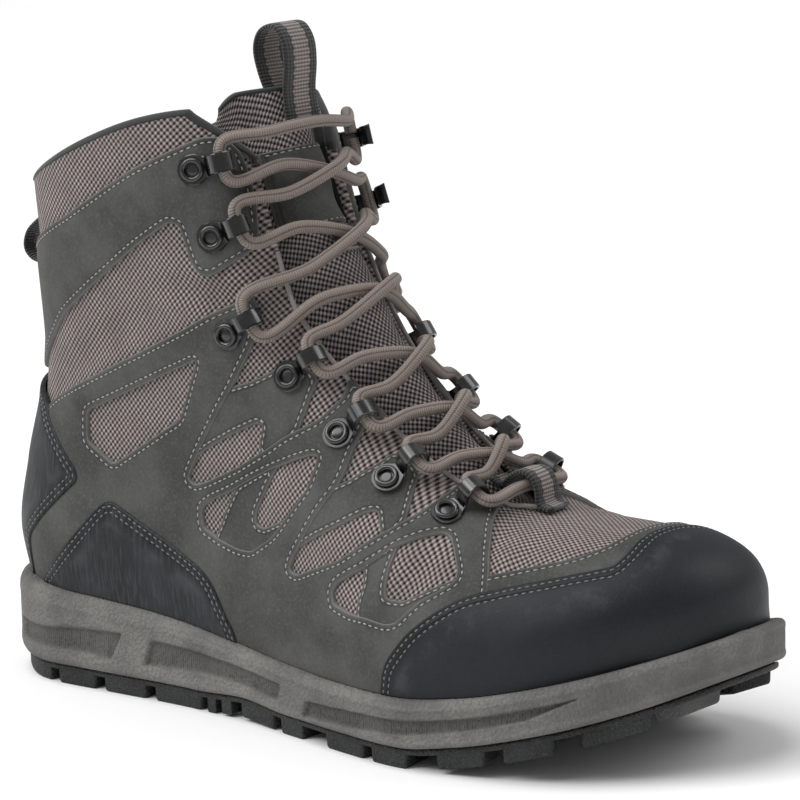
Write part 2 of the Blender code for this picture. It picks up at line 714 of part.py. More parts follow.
def add_rings(name, rings, half, finish):
    """Closed body of stacked outlines, with ruled strips across its top and underside."""
    count = 2 * half
    points = [p for ring in rings for p in ring]
    faces = []
    for r in range(len(rings) - 1):
        for i in range(count):
            j = (i + 1) % count
            faces.append((r * count + i, r * count + j, (r + 1) * count + j, (r + 1) * count + i))
    for base in (0, (len(rings) - 1) * count):
        for i in range(half - 1):
            faces.append((base + i, base + i + 1, base + count - 2 - i, base + count - 1 - i))
    return add_object(name, points, faces, finish)


Lug = namedtuple("Lug", "start stop depth")
LATERAL_LUGS = [  # along the edge, and how far each reaches in as a share of half of BALL_WIDTH
    Lug(0.045, 0.105, 0.30), Lug(0.125, 0.180, 0.26), Lug(0.200, 0.255, 0.26), Lug(0.275, 0.335, 0.26),
    Lug(0.360, 0.420, 0.22), Lug(0.445, 0.490, 0.28), Lug(0.510, 0.560, 0.30), Lug(0.580, 0.630, 0.34),
    Lug(0.650, 0.705, 0.34), Lug(0.725, 0.785, 0.34), Lug(0.805, 0.865, 0.32), Lug(0.885, 0.945, 0.28),
]
CENTRE_LUGS = [  # rows of lugs across the middle
    Lug(0.110, 0.210, 0.30), Lug(0.230, 0.290, 0.30), Lug(0.460, 0.500, 0.34), Lug(0.530, 0.575, 0.42),
    Lug(0.585, 0.640, 0.42), Lug(0.665, 0.715, 0.46), Lug(0.740, 0.790, 0.46), Lug(0.815, 0.865, 0.40),
    Lug(0.890, 0.935, 0.26),
]


def add_lug(name, corners):
    """Block from inside the plate down to the ground, slightly narrower below."""
    middle = np.mean(corners, axis=0)
    points = []
    for x, y in corners:
        low_x, low_y = np.array([x, y]) + (middle - [x, y]) * LUG_TAPER
        points.append((low_x, low_y, ground(low_x)))
        points.append((x, y, ground(x) + TREAD_DEPTH + PLATE_THICKNESS / 2))
    count = len(corners)
    faces = [tuple(2 * i for i in range(count)), tuple(2 * i + 1 for i in reversed(range(count)))]
    for i in range(count):
        j = (i + 1) % count
        faces.append((2 * i, 2 * i + 1, 2 * j + 1, 2 * j))
    made = add_object(name, points, faces, TREAD_RUBBER)
    made.hide_render = True
    made.display_type = "WIRE"
    made.hide_set(True)
    return made


def side_lug(lug, side):
    inset = PLATE_INSET * 1.2
    outer = [sole_point(s, side, 0.0, inset)[:2] for s in (lug.start, (lug.start + lug.stop) / 2, lug.stop)]
    depth = lug.depth * BALL_WIDTH / 2
    inner = [sole_point(s, side, 0.0, depth)[:2] for s in (lug.stop - 0.008, lug.start + 0.008)]
    return [np.array(p) for p in outer + inner]


def centre_lug(lug):
    """Blunt arrow across the middle of the tread."""
    reach = lug.depth * BALL_WIDTH / 2
    x0 = lug.start * SOLE_LENGTH - HEEL_SETBACK
    x1 = lug.stop * SOLE_LENGTH - HEEL_SETBACK
    point = 0.3 * (x1 - x0)
    middle = centre((x0 + x1) / 2)
    shape = [(x0, -0.5), (x0, 0.5), (x0 + point, 1.0), (x1, 0.7), (x1, -0.7), (x0 + point, -1.0)]
    return [np.array([x, middle + share * reach]) for x, share in shape]


def build_outsole():
    stations = sole_stations()
    rings = []
    for rise in (TREAD_DEPTH + PLATE_THICKNESS, TREAD_DEPTH):
        ring = []
        for side, order in ((-1, stations), (1, stations[::-1])):
            for share in order:
                x, y, _ = sole_point(share, side, 0.0, PLATE_INSET)
                ring.append((x, y, ground(x) + rise))
        rings.append(ring)
    plate = add_rings("outsole", rings, len(stations), TREAD_RUBBER)
    shapes = [centre_lug(lug) for lug in CENTRE_LUGS]
    for side in (-1, 1):
        shapes += [side_lug(lug, side) for lug in LATERAL_LUGS]
    for i, shape in enumerate(shapes):
        cut(plate, add_lug(f"lug_{i}", shape), "UNION")


# Hooks, laces and webbing


def tube(points, radius, sides):
    """Tube along points, closed at both ends."""
    points = np.array(points)
    tangents = np.gradient(points, axis=0)
    tangents /= np.linalg.norm(tangents, axis=1)[:, None]
    across = np.cross(tangents[0], [0.0, 0.0, 1.0])
    rings = []
    for place, tangent in zip(points, tangents):
        across = across - tangent * np.dot(across, tangent)
        across /= np.linalg.norm(across)
        up = np.cross(tangent, across)
        angles = [2 * math.pi * k / sides for k in range(sides)]
        rings.append([place + radius * (math.cos(t) * across + math.sin(t) * up) for t in angles])
    faces = [tuple(range(sides - 1, -1, -1))]
    for i in range(len(rings) - 1):
        for k in range(sides):
            m = (k + 1) % sides
            faces.append((i * sides + k, i * sides + m, (i + 1) * sides + m, (i + 1) * sides + k))
    last = (len(rings) - 1) * sides
    faces.append(tuple(range(last, last + sides)))
    return [p for ring in rings for p in ring], faces


def hook_frame(hook, side):
    """Place of a hook's base, and its directions: towards the tip, along the edge, outwards."""
    out = 2 * GAP + PANEL_THICKNESS
    base = skin(hook.a, hook.base, side, out)
    tip = skin(hook.a, hook.tip, side, out)
    towards = tip - base
    x, z = patch(np.array(hook.a), np.array(hook.base))
    outward = normal(x, height_field(x, z, side), z, side)
    towards -= outward * np.dot(towards, outward)
    towards /= np.linalg.norm(towards)
    edgewise = np.cross(outward, towards)
    return base, towards, edgewise, outward


def hook_profile(closed):
    """Centre line of the bent strip: distance towards the throat, height above the panel."""
    base = HOOK_BASE
    reach = base + HOOK_TUNNEL
    low = HOOK_STRIP / 2
    high = low + HOOK_TUNNEL + HOOK_STRIP
    line = [(-base, low), (base * 0.8, low), (base, low + 0.3 * high), (base + 0.1 * reach, 0.8 * high),
            (base + HOOK_TUNNEL / 2, high), (reach + 0.2 * base, 0.75 * high)]
    if closed:
        return line + [(reach + 0.35 * base, 0.40 * high), (reach + 0.30 * base, low + GAP)]
    return line + [(reach + 0.45 * base, 0.85 * high), (reach + 0.60 * base, 1.1 * high)]


def build_hook(name, hook, side):
    base, towards, edgewise, outward = hook_frame(hook, side)
    line = np.array(hook_profile(hook.closed))
    run = np.gradient(line, axis=0)
    run /= np.linalg.norm(run, axis=1)[:, None]
    across = np.stack([-run[:, 1], run[:, 0]], -1) * HOOK_STRIP / 2
    shape = np.concatenate([line + across, (line - across)[::-1]])
    points = []
    for share in (-0.5, 0.5):
        for u, h in shape:
            points.append(base + towards * u + outward * h + edgewise * share * HOOK_WIDTH)
    count = len(shape)
    half = count // 2
    faces = []
    for i in range(half - 1):
        faces.append((i, i + 1, count - 2 - i, count - 1 - i))
        faces.append((count + i, 2 * count - 1 - i, 2 * count - 2 - i, count + i + 1))
    for i in range(count):
        j = (i + 1) % count
        faces.append((i, count + i, count + j, j))
    add_object(name, points, faces, HOOK_METAL)


def tunnel(hook, side, share):
    """Point in the tunnel under a hook's strip; share runs along the throat's edge."""
    base, towards, edgewise, outward = hook_frame(hook, side)
    if edgewise[2] < 0:
        edgewise = -edgewise
    middle = base + towards * (HOOK_BASE + 0.78 * HOOK_TUNNEL) + outward * (0.52 * HOOK_TUNNEL)
    return middle + edgewise * share * HOOK_WIDTH


def over_throat(a, t, lift):
    """Middle of the lace over the throat: t is -1 at its lateral edge and 1 at its medial edge."""
    side = -1 if t < 0 else 1
    a = np.array(a)
    clear = np.maximum(tongue_out(a, t), 0.0) + LACE_DIAMETER / 2 + lift
    return skin(a, abs(t) * throat(a), side, clear)


def spline(points, per_span):
    """Smooth curve through points."""
    points = np.array(points)
    run = np.append(0, np.cumsum(np.linalg.norm(np.diff(points, axis=0), axis=1)))
    slope = np.gradient(points, run, axis=0)
    made = [points[0]]
    for i in range(len(points) - 1):
        h = run[i + 1] - run[i]
        for k in range(1, per_span + 1):
            t = k / per_span
            start = (1 + 2 * t) * (1 - t) ** 2 * points[i] + t * (1 - t) ** 2 * h * slope[i]
            end = t * t * (3 - 2 * t) * points[i + 1] + t * t * (t - 1) * h * slope[i + 1]
            made.append(start + end)
    return made


def half_lace(first):
    """One half of the lace, from beside the lowest bar's middle up through every hook."""
    side = first
    bar = HOOKS[0].a - BAR_DROP
    points = [over_throat(bar, 0.08 * side, LACE_LIFT), over_throat(bar, LACE_REACH * side, LACE_LIFT)]
    for i, hook in enumerate(HOOKS):
        points += [tunnel(hook, side, share) for share in (-1.0, 0.0, 1.0)]
        if i + 1 == len(HOOKS):
            break
        above = HOOKS[i + 1]
        span = above.a - hook.a
        lift = WEBBING_THICKNESS + 2 * LACE_GAP
        if (i % 2 == 0) == (first < 0):
            lift += LACE_DIAMETER + LACE_GAP
        points += [over_throat(hook.a + 0.25 * span, LACE_REACH * side, LACE_LIFT),
                   over_throat(hook.a + 0.50 * span, 0.0, lift),
                   over_throat(hook.a + 0.75 * span, -LACE_REACH * side, LACE_LIFT)]
        side = -side
    return points


def build_lace():
    """One lace: down from the lateral top hook, across the lowest bar and up to the medial one."""
    route = half_lace(-1)[::-1] + half_lace(1)
    points, faces = tube(spline(route, 2), LACE_DIAMETER / 2, LACE_SIDES)
    add_object("lace", points, faces, LACE_CORD)


def strap(name, points, outs, width, finish=WEBBING):
    """Flat webbing along points; outs gives its face's direction at each."""
    points = np.array(points)
    run = np.gradient(points, axis=0)
    rings = []
    for place, tangent, out in zip(points, run, outs):
        tangent = tangent / np.linalg.norm(tangent)
        out = out - tangent * np.dot(out, tangent)
        out = out / np.linalg.norm(out)
        across = np.cross(tangent, out) * width / 2
        half = out * WEBBING_THICKNESS / 2
        rings.append([place - across - half, place + across - half, place + across + half, place - across + half])
    faces = [(3, 2, 1, 0)]
    for i in range(len(rings) - 1):
        for k in range(4):
            m = (k + 1) % 4
            faces.append((4 * i + k, 4 * i + m, 4 * i + 4 + m, 4 * i + 4 + k))
    last = 4 * (len(rings) - 1)
    faces.append((last, last + 1, last + 2, last + 3))
    add_object(name, [p for ring in rings for p in ring], faces, finish)


def build_webbing():
    bend = 0.5 * WEBBING_WIDTH
    foot = tongue_point(np.array(1.01), 0.0, -(2 * GAP + WEBBING_THICKNESS / 2))
    up = tongue_point(np.array(1.03), 0.0, 0.0) - tongue_point(np.array(0.97), 0.0, 0.0)
    up /= np.linalg.norm(up)
    ahead = np.array([up[2], 0.0, -up[0]])
    loop = [(-0.9, 0.0), (0.2, 0.12), (1.3, 0.4), (2.3, 0.35), (2.95, -0.1), (2.9, -0.75), (2.3, -1.1),
            (1.5, -1.0), (0.75, -1.0)]
    places = [foot + (up * u + ahead * w) * bend for u, w in loop]
    strap("tongue_pull_loop", places, facing(places), WEBBING_WIDTH)
    top, bottom = (behind(share) for share in (0.93, 0.80))
    out = np.array([-1.0, 0.0, 0.0])
    loop = [(-0.10, 0.0), (0.12, 0.0), (0.35, 0.70), (0.65, 1.45), (0.95, 1.60), (1.14, 1.15), (1.12, 0.40),
            (0.97, 0.0), (0.80, 0.0)]
    places = [top + (bottom - top) * u + out * w * bend for u, w in loop]
    strap("heel_pull_loop", places, facing(places), WEBBING_WIDTH)
    lift = 2 * GAP + WEBBING_THICKNESS / 2
    keeper = [tongue_point(np.array(a), 0.0, -lift) for a in (0.705, 0.73, 0.755)]
    strap("lace_keeper", keeper, facing(keeper[::-1]), KEEPER_WIDTH)
    over = LACE_LIFT + LACE_DIAMETER + LACE_GAP
    arch = [(2.0, 0.0), (1.4, 0.0), (0.8, 0.75), (0.25, 1.0), (-0.3, 1.0), (-0.75, 0.75), (-1.3, 0.0), (-1.9, 0.0)]
    bar = HOOKS[0].a - BAR_DROP
    places = [vamp_point(bar + BAR_DROP * u, lift + over * h) for u, h in arch]
    strap("vamp_keeper", places, facing(places[::-1]), KEEPER_WIDTH)


def vamp_point(a, out):
    """Point above the middle of the tongue, or of the vamp in front of it."""
    a = np.array(a)
    return skin(a, 0.0, 1, np.maximum(tongue_out(a, 0.0), 0.0) + out)


def behind(share):
    """Middle of a strap that lies on the overlay at the back."""
    x, z = BACK.at(share)
    return np.array([x - (2 * GAP + PANEL_THICKNESS + WEBBING_THICKNESS / 2), centre(x), z])


def facing(places):
    """Directions square to a loop that lies in the plane of the boot's middle."""
    run = np.gradient(np.array(places), axis=0)
    return [np.array([dz, 0.0, -dx]) for dx, _, dz in run]


def main():
    for old in list(bpy.data.objects):
        bpy.data.objects.remove(old)
    build_upper()
    build_insole()
    build_overlays()
    build_toe_cap()
    build_binding()
    build_tongue()
    build_patch()
    build_midsole()
    build_outsole()
    for side, word in ((-1, "lateral"), (1, "medial")):
        for i, hook in enumerate(HOOKS):
            build_hook(f"hook_{word}_{i + 1}", hook, side)
    build_lace()
    build_webbing()


main()
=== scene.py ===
"""Dresses the right wading boot: cloth, leather, stitching, lace, hooks, webbing and moulded sole.

Units are metres. The toe points along +X, and the outer (lateral) side is at -Y.
"""
import math
from collections import namedtuple
from functools import partial

import bmesh
import bpy
import numpy as np
from mathutils import Matrix, Vector


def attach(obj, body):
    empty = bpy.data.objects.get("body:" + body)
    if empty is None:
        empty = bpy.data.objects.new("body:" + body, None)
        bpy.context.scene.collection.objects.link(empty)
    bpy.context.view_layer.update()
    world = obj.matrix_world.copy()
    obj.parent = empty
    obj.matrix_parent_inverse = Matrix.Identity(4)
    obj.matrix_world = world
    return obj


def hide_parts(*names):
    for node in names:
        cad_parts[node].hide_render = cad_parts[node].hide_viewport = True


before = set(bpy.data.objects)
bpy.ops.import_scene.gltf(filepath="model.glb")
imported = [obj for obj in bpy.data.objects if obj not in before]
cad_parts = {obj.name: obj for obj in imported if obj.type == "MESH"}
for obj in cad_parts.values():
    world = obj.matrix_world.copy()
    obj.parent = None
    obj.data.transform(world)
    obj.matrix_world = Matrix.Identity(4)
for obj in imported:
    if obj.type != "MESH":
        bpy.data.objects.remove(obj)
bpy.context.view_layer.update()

MM = 0.001

# Sizes shared with the solid model
SOLE_LENGTH = 0.312
HEEL_SETBACK = 0.050
BALL_WIDTH = 0.117
HEEL_HEIGHT = 0.036
SHAFT_HEIGHT = 0.214
TOE_ROUND = 0.053
HEEL_ROUND = 0.040
TOE_SHIFT = 0.0138
TREAD_DEPTH = 0.0048
PLATE_THICKNESS = 0.0025
PLATE_INSET = 0.0025
FEATHER_INSET = 0.005
FEATHER_BLEND = 0.010
SIDE_SWELL = 0.002
UPPER_WALL = 0.0024
COLLAR_WALL = 0.0062
PANEL_THICKNESS = 0.0013
TONGUE_THICKNESS = 0.0045
TONGUE_OVERLAP = 0.012
TONGUE_SWELL = 0.0085
TONGUE_CLEARANCE = 0.0022
LACE_DIAMETER = 0.0048
LACE_LIFT = 0.0032
BAR_DROP = 0.02
LACE_REACH = 0.68
HOOK_STRIP = 0.0011
HOOK_WIDTH = 0.0074
HOOK_BASE = 0.0065
HOOK_TUNNEL = 0.0064
WEBBING_WIDTH = 0.017
KEEPER_WIDTH = 0.0125
WEBBING_THICKNESS = 0.0018
GAP = 0.0003
LACE_GAP = 0.0009
FULLNESS = 2.2
CHORD_LENGTH = 325.0   # millimetres along the top line for one whole chord share


def rows_of(fields, rows):
    """Rows of numbers with named columns."""
    kind = namedtuple("Row", fields)
    return [kind(*row) for row in rows]


SOLE_PLAN = rows_of("along lateral medial", [
    (0.00, 0.70, 0.70), (0.10, 0.71, 0.71), (0.20, 0.70, 0.69), (0.30, 0.69, 0.64),
    (0.40, 0.73, 0.62), (0.50, 0.83, 0.69), (0.60, 0.94, 0.83), (0.68, 1.00, 0.94),
    (0.76, 0.98, 1.00), (0.85, 0.90, 0.97), (0.93, 0.80, 0.88), (1.00, 0.72, 0.80),
])
SOLE_SIDE = rows_of("along ground edge", [
    (0.00, 0.12, 1.04), (0.05, 0.03, 1.02), (0.10, 0.00, 1.00), (0.25, 0.00, 0.93),
    (0.34, 0.00, 0.85), (0.42, 0.04, 0.76), (0.50, 0.00, 0.70), (0.60, 0.00, 0.67),
    (0.68, 0.00, 0.68), (0.75, 0.08, 0.75), (0.85, 0.28, 0.94), (0.93, 0.50, 1.14),
    (1.00, 0.76, 1.36),
])
TOP_LINE = rows_of("along up", [
    (0.974, 0.224), (0.968, 0.280), (0.949, 0.322), (0.910, 0.350),
    (0.853, 0.364), (0.782, 0.371), (0.712, 0.397), (0.641, 0.453),
    (0.571, 0.540), (0.510, 0.650), (0.465, 0.762), (0.433, 0.874),
    (0.410, 0.981), (0.394, 1.084),
])
BACK_LINE = rows_of("along up", [
    (0.019, 0.173), (0.011, 0.257), (0.024, 0.374), (0.046, 0.491),
    (0.056, 0.584), (0.053, 0.701), (0.048, 0.846),
])
TOP_ROUND = rows_of("share radius", [
    (0.00, 0.444), (0.10, 0.393), (0.20, 0.359), (0.33, 0.393),
    (0.47, 0.444), (1.00, 0.462),
])
BACK_ROUND = rows_of("share radius", [(0.0, 0.376), (0.5, 0.402), (1.0, 0.444)])
SHAFT_WIDTH = rows_of("up width", [
    (0.19, 0.68), (0.33, 0.66), (0.47, 0.63), (0.58, 0.64), (0.70, 0.68),
    (0.86, 0.73), (1.00, 0.75),
])
TOP_CHORDS = rows_of("a share", [(0.0, 0.0), (0.12, 0.12), (0.6, 0.67), (1.0, 0.935), (1.1, 1.0)])
HEEL_CHORD = 0.60
COLLAR_RISE = 0.009
THROAT = rows_of("a half", [
    (0.29, 0.000), (0.31, 0.050), (0.35, 0.068), (0.42, 0.082),
    (0.49, 0.098), (0.56, 0.120), (0.64, 0.135), (0.84, 0.132),
    (0.92, 0.130), (0.96, 0.190), (1.00, 0.275),
])
HOOKS = rows_of("a base tip closed", [
    (0.335, 0.172, 0.078, True), (0.405, 0.192, 0.098, True), (0.478, 0.205, 0.118, True),
    (0.562, 0.215, 0.135, True), (0.655, 0.275, 0.205, True), (0.810, 0.265, 0.170, False),
    (0.915, 0.278, 0.182, False),
])
SIDES = ((-1, "lateral"), (1, "medial"))


def column(table, name):
    return np.array([getattr(row, name) for row in table], float)


def arc_lengths(points, axis=0):
    """Running length along one axis of rows of points."""
    step = np.linalg.norm(np.diff(points, axis=axis), axis=-1)
    start = np.zeros_like(np.take(step, [0], axis=axis))
    return np.cumsum(np.concatenate([start, step], axis=axis), axis=axis)


def hermite(t, h, first, last, first_slope, last_slope):
    """Cubic between two values over a step h, at the share t of it."""
    return ((1 + 2 * t) * (1 - t) ** 2 * first + t * (1 - t) ** 2 * h * first_slope
            + t * t * (3 - 2 * t) * last + t * t * (t - 1) * h * last_slope)


def smooth(x, y, at):
    """Cubic through the points that never runs past them."""
    step = np.diff(y) / np.diff(x)
    before, after = step[:-1], step[1:]
    both = before * after > 0
    total = np.where(both, before + after, 1.0)
    slope = np.concatenate([step[:1], np.where(both, 2 * before * after / total, 0.0), step[-1:]])
    at = np.asarray(at, float)
    i = np.clip(np.searchsorted(x, at) - 1, 0, len(x) - 2)
    h = x[i + 1] - x[i]
    return hermite(np.clip((at - x[i]) / h, 0, 1), h, y[i], y[i + 1], slope[i], slope[i + 1])


def read(table, name, at):
    return smooth(column(table, table[0]._fields[0]), column(table, name), at)


def linear(table, name, at):
    return np.interp(at, column(table, table[0]._fields[0]), column(table, name))


def along(x):
    return np.clip((x + HEEL_SETBACK) / SOLE_LENGTH, 0, 1)


def spot(point):
    return point[0] * SOLE_LENGTH - HEEL_SETBACK, point[1] * SHAFT_HEIGHT


def ground(x):
    return read(SOLE_SIDE, "ground", along(x)) * HEEL_HEIGHT


def edge(x):
    return read(SOLE_SIDE, "edge", along(x)) * HEEL_HEIGHT


def soft_step(t):
    t = np.clip(t, 0, 1)
    return t * t * (3 - 2 * t)


def bump(t):
    """Soft hump: 1 at 0 and 0 beyond 1."""
    return np.clip(1 - t * t, 0, 1) ** 2


def unit(v):
    return v / np.linalg.norm(v, axis=-1)[..., None]


class Line:
    """Smooth side-elevation line that starts on the sole, with the signed distance from it."""

    def __init__(self, spots, inside, count=160):
        places = np.array([spot(s) for s in spots])
        places[0, 1] = edge(places[0, 0]) + GAP
        run = arc_lengths(places)
        at = np.linspace(0, run[-1], count)
        self.x = smooth(run, places[:, 0], at)
        self.z = smooth(run, places[:, 1], at)
        self.run = arc_lengths(np.stack([self.x, self.z], -1))
        self.inside = inside

    def at(self, share):
        run = np.asarray(share, float) * self.run[-1]
        return np.interp(run, self.run, self.x), np.interp(run, self.run, self.z)

    def distance(self, x, z):
        """Distance, positive inside the boot, and the share of the nearest point."""
        x, z = np.asarray(x, float), np.asarray(z, float)
        if x.size > 4096:
            rows = zip(x.reshape(-1, x.shape[-1]), z.reshape(-1, x.shape[-1]))
            parts = [self.distance(row_x, row_z) for row_x, row_z in rows]
            return tuple(np.array(part).reshape(x.shape) for part in zip(*parts))
        ux, uz = np.diff(self.x), np.diff(self.z)
        dx, dz = x[..., None] - self.x[:-1], z[..., None] - self.z[:-1]
        low, high = np.zeros(len(ux)), np.ones(len(ux))
        low[0], high[-1] = -np.inf, np.inf
        t = np.clip((dx * ux + dz * uz) / (ux * ux + uz * uz), low, high)
        gap = np.hypot(dx - t * ux, dz - t * uz)
        nearest = np.argmin(gap, axis=-1)[..., None]

        def pick(values):
            return np.take_along_axis(values, nearest, -1)[..., 0]

        share = pick(self.run[:-1] + t * np.diff(self.run)) / self.run[-1]
        return pick(gap * np.sign(ux * dz - uz * dx)) * self.inside, share


TOP = Line(TOP_LINE, 1)
BACK = Line(BACK_LINE, -1)


def centre(x):
    return TOE_SHIFT * np.clip((along(x) - 0.6) / 0.4, 0, 1) ** 2


def half_width(x, z, side):
    foot = read(SOLE_PLAN, "lateral" if side < 0 else "medial", along(x)) * BALL_WIDTH / 2 - FEATHER_INSET
    foot = foot + SIDE_SWELL * np.sin(np.clip((z - edge(x)) / (0.19 * SHAFT_HEIGHT), 0, 1) * math.pi)
    shaft = linear(SHAFT_WIDTH, "width", z / SHAFT_HEIGHT)
    up = soft_step((z / SHAFT_HEIGHT - 0.23) / 0.28)
    back = soft_step((0.64 - along(x)) / 0.26)
    return foot + (shaft * BALL_WIDTH / 2 - foot) * up * back


def rounding(gap, radius):
    return 1 - np.abs(1 - np.clip(gap / radius, -1, 1)) ** FULLNESS


def fill(x, z):
    top, top_share = TOP.distance(x, z)
    back, back_share = BACK.distance(x, z)
    over = rounding(top, BALL_WIDTH * linear(TOP_ROUND, "radius", top_share))
    behind = rounding(back, BALL_WIDTH * linear(BACK_ROUND, "radius", back_share))
    return over * behind


def feather(share):
    x = TOP.x[0] + (BACK.x[0] - TOP.x[0]) * share
    return x, edge(x) + GAP


def patch(a, b):
    """Side-view point of chord a (0 toe, 1 collar) at b (0 top line, 1 feather or back line)."""
    top_x, top_z = TOP.at(linear(TOP_CHORDS, "share", a))
    foot_x, foot_z = feather(np.clip(a / HEEL_CHORD, 0, 1))
    back_x, back_z = BACK.at(np.clip((a - HEEL_CHORD) / (1 - HEEL_CHORD), 0, 1))
    low_x = np.where(a < HEEL_CHORD, foot_x, back_x)
    low_z = np.where(a < HEEL_CHORD, foot_z, back_z)
    q = (1 - np.cos(math.pi * b)) / 2
    rise = COLLAR_RISE * np.clip(a, 0, 1) ** 6 * 4 * q * (1 - q) * (1.3 - q)
    return top_x + (low_x - top_x) * q, top_z + (low_z - top_z) * q + rise


def throat(a):
    return np.where(a < THROAT[0].a, 0.0, linear(THROAT, "half", a))


def wall_at(z):
    return UPPER_WALL + (COLLAR_WALL - UPPER_WALL) * soft_step((z / SHAFT_HEIGHT - 0.68) / 0.16)


# Side-view place and turn in degrees of each trough (-) or ridge (+), millimetres
CREASES = rows_of("x z turn length width depth", [
    (66, 150, -12, 30, 7, -1.5), (64, 159, -14, 28, 7, 1.0), (62, 141, -14, 26, 6, 1.0),
    (20, 132, 24, 42, 8, -1.1), (22, 121, 26, 40, 8, 0.9), (-6, 112, 32, 30, 7, -0.9),
    (-14, 122, 30, 28, 8, 0.8), (96, 96, 40, 30, 6, -0.8), (104, 88, 42, 26, 6, 0.6),
    (146, 66, 62, 20, 6, -0.9), (154, 62, 64, 20, 6, 0.8), (162, 60, 66, 20, 6, -0.8),
    (181, 72, 74, 18, 6, -0.7), (190, 70, 78, 18, 6, 0.5), (8, 60, 10, 44, 14, 0.7),
    (90, 52, 8, 50, 12, -0.6), (118, 44, 6, 46, 10, 0.6),
])


def relief(x, z, side):
    """Soft creases that wear has put into the upper, square to its surface."""
    total = np.zeros(np.shape(x))
    for crease in CREASES:
        turn = math.radians(crease.turn)
        dx, dz = x / MM - crease.x, z / MM - crease.z
        run = dx * math.cos(turn) + dz * math.sin(turn)
        off = dz * math.cos(turn) - dx * math.sin(turn) + 0.004 * run * run
        share = 0.85 if side > 0 else 1.0
        total = total + share * crease.depth * MM * bump(run / crease.length) * bump(off / crease.width)
    return total * soft_step((z - edge(x)) / (10 * MM))


PROBE = 0.0004
PROBES = ((0, 0), (PROBE, 0), (-PROBE, 0), (0, PROBE), (0, -PROBE))   # shifts that give the form's slopes


def frame_at(x, z, side, fills=None):
    """Point on the last and the way square out of it, at side-view points."""
    fills = fills or [fill(x + dx, z + dz) for dx, dz in PROBES]
    y = centre(x) + side * half_width(x, z, side) * np.maximum(fills[0], 0) ** (1 / FULLNESS)

    def form(px, py, pz, filled):
        return (np.abs(py - centre(px)) / half_width(px, pz, side)) ** FULLNESS - filled

    n = np.stack([
        form(x + PROBE, y, z, fills[1]) - form(x - PROBE, y, z, fills[2]),
        form(x, y + PROBE, z, fills[0]) - form(x, y - PROBE, z, fills[0]),
        form(x, y, z + PROBE, fills[3]) - form(x, y, z - PROBE, fills[4]),
    ], -1)
    n = unit(n)
    return np.stack([x, y, z], -1), n


def offset_way(x, z, n, middle):
    """Direction in which layers are stacked on the last: level beside the sole."""
    low = 1 - soft_step((z - edge(x) - GAP) / FEATHER_BLEND)
    way = n.copy()
    way[..., 2] *= 1 - low
    way[..., 1] = np.where(middle, 0.0, way[..., 1])
    way = unit(way)
    slope = (edge(x + 0.0002) - edge(x - 0.0002)) / 0.0004
    way[..., 2] += low * slope * way[..., 0]
    return way


def skin(a, b, side, out, crease_wear_and_rail_highlight=0.0):
    """Point on the last, lifted by out; worn adds that share of the upper's creases."""
    a, b = np.broadcast_arrays(np.asarray(a, float), np.asarray(b, float))
    x, z = patch(a, b)
    place, n = frame_at(x, z, side)
    way = offset_way(x, z, n, b < 0.001)
    return place + way * (np.asarray(out) + crease_wear_and_rail_highlight * relief(x, z, side))[..., None]


# Net over the last: rows run from the toe to the collar, columns from the top line down
ROWS = np.concatenate([np.linspace(0, HEEL_CHORD, 270, endpoint=False), np.linspace(HEEL_CHORD, 1.0, 121)])
COLS = np.linspace(0, 1, 141)
NET_A, NET_B = np.meshgrid(ROWS, COLS, indexing="ij")
NET_X, NET_Z = patch(NET_A, NET_B)


class Net:
    """The net's points on one side, and the way out from each."""

    def __init__(self, side, fills):
        self.side = side
        place, n = frame_at(NET_X, NET_Z, side, fills)
        self.normal = n
        self.way = offset_way(NET_X, NET_Z, n, NET_B < 0.001)
        self.place = place + self.way * relief(NET_X, NET_Z, side)[..., None]

    def at(self, i, j, out):
        i0 = np.clip(i.astype(int), 0, len(ROWS) - 2)
        j0 = np.clip(j.astype(int), 0, len(COLS) - 2)
        u, v = (i - i0)[:, None], (j - j0)[:, None]

        def mix(grid):
            low = grid[i0, j0] * (1 - v) + grid[i0, j0 + 1] * v
            high = grid[i0 + 1, j0] * (1 - v) + grid[i0 + 1, j0 + 1] * v
            return low * (1 - u) + high * u

        return mix(self.place) + mix(self.way) * np.asarray(out).reshape(-1, 1)


def eased(grid):
    """Softens the form over the side of the toe, where two of its roundings meet."""
    share = soft_step((0.24 - NET_A) / 0.08) * soft_step((NET_A - 0.005) / 0.03)
    share = share * soft_step((NET_B - 0.06) / 0.14) * soft_step((1.0 - NET_B) / 0.05)
    soft = grid
    for axis, reach in ((0, 10), (1, 6)) * 3:
        margin = [(reach, reach) if n == axis else (0, 0) for n in range(2)]
        padded = np.pad(soft, margin, "edge")
        shifted = [np.take(padded, range(k, k + grid.shape[axis]), axis=axis) for k in range(2 * reach + 1)]
        soft = np.mean(shifted, axis=0)
    return grid * (1 - share) + soft * share


def make_nets():
    fills = [eased(fill(NET_X + dx, NET_Z + dz)) for dx, dz in PROBES]
    return {side: Net(side, fills) for side, _ in SIDES}


NETS = make_nets()


# Outlines in side view


def rounded(points, radius):
    """Closed outline in millimetres with its corners rounded off."""
    points = np.array(points, float)
    points = points[np.linalg.norm(points - np.roll(points, 1, 0), axis=1) > 1e-6]
    made = []
    for i, here in enumerate(points):
        back = points[i - 1] - here
        ahead = points[(i + 1) % len(points)] - here
        cut = min(radius, 0.42 * np.linalg.norm(back), 0.42 * np.linalg.norm(ahead))
        first = here + unit(back) * cut
        last = here + unit(ahead) * cut
        for t in np.linspace(0, 1, 6):
            made.append(first * (1 - t) ** 2 + here * 2 * t * (1 - t) + last * t * t)
    return np.array(made)


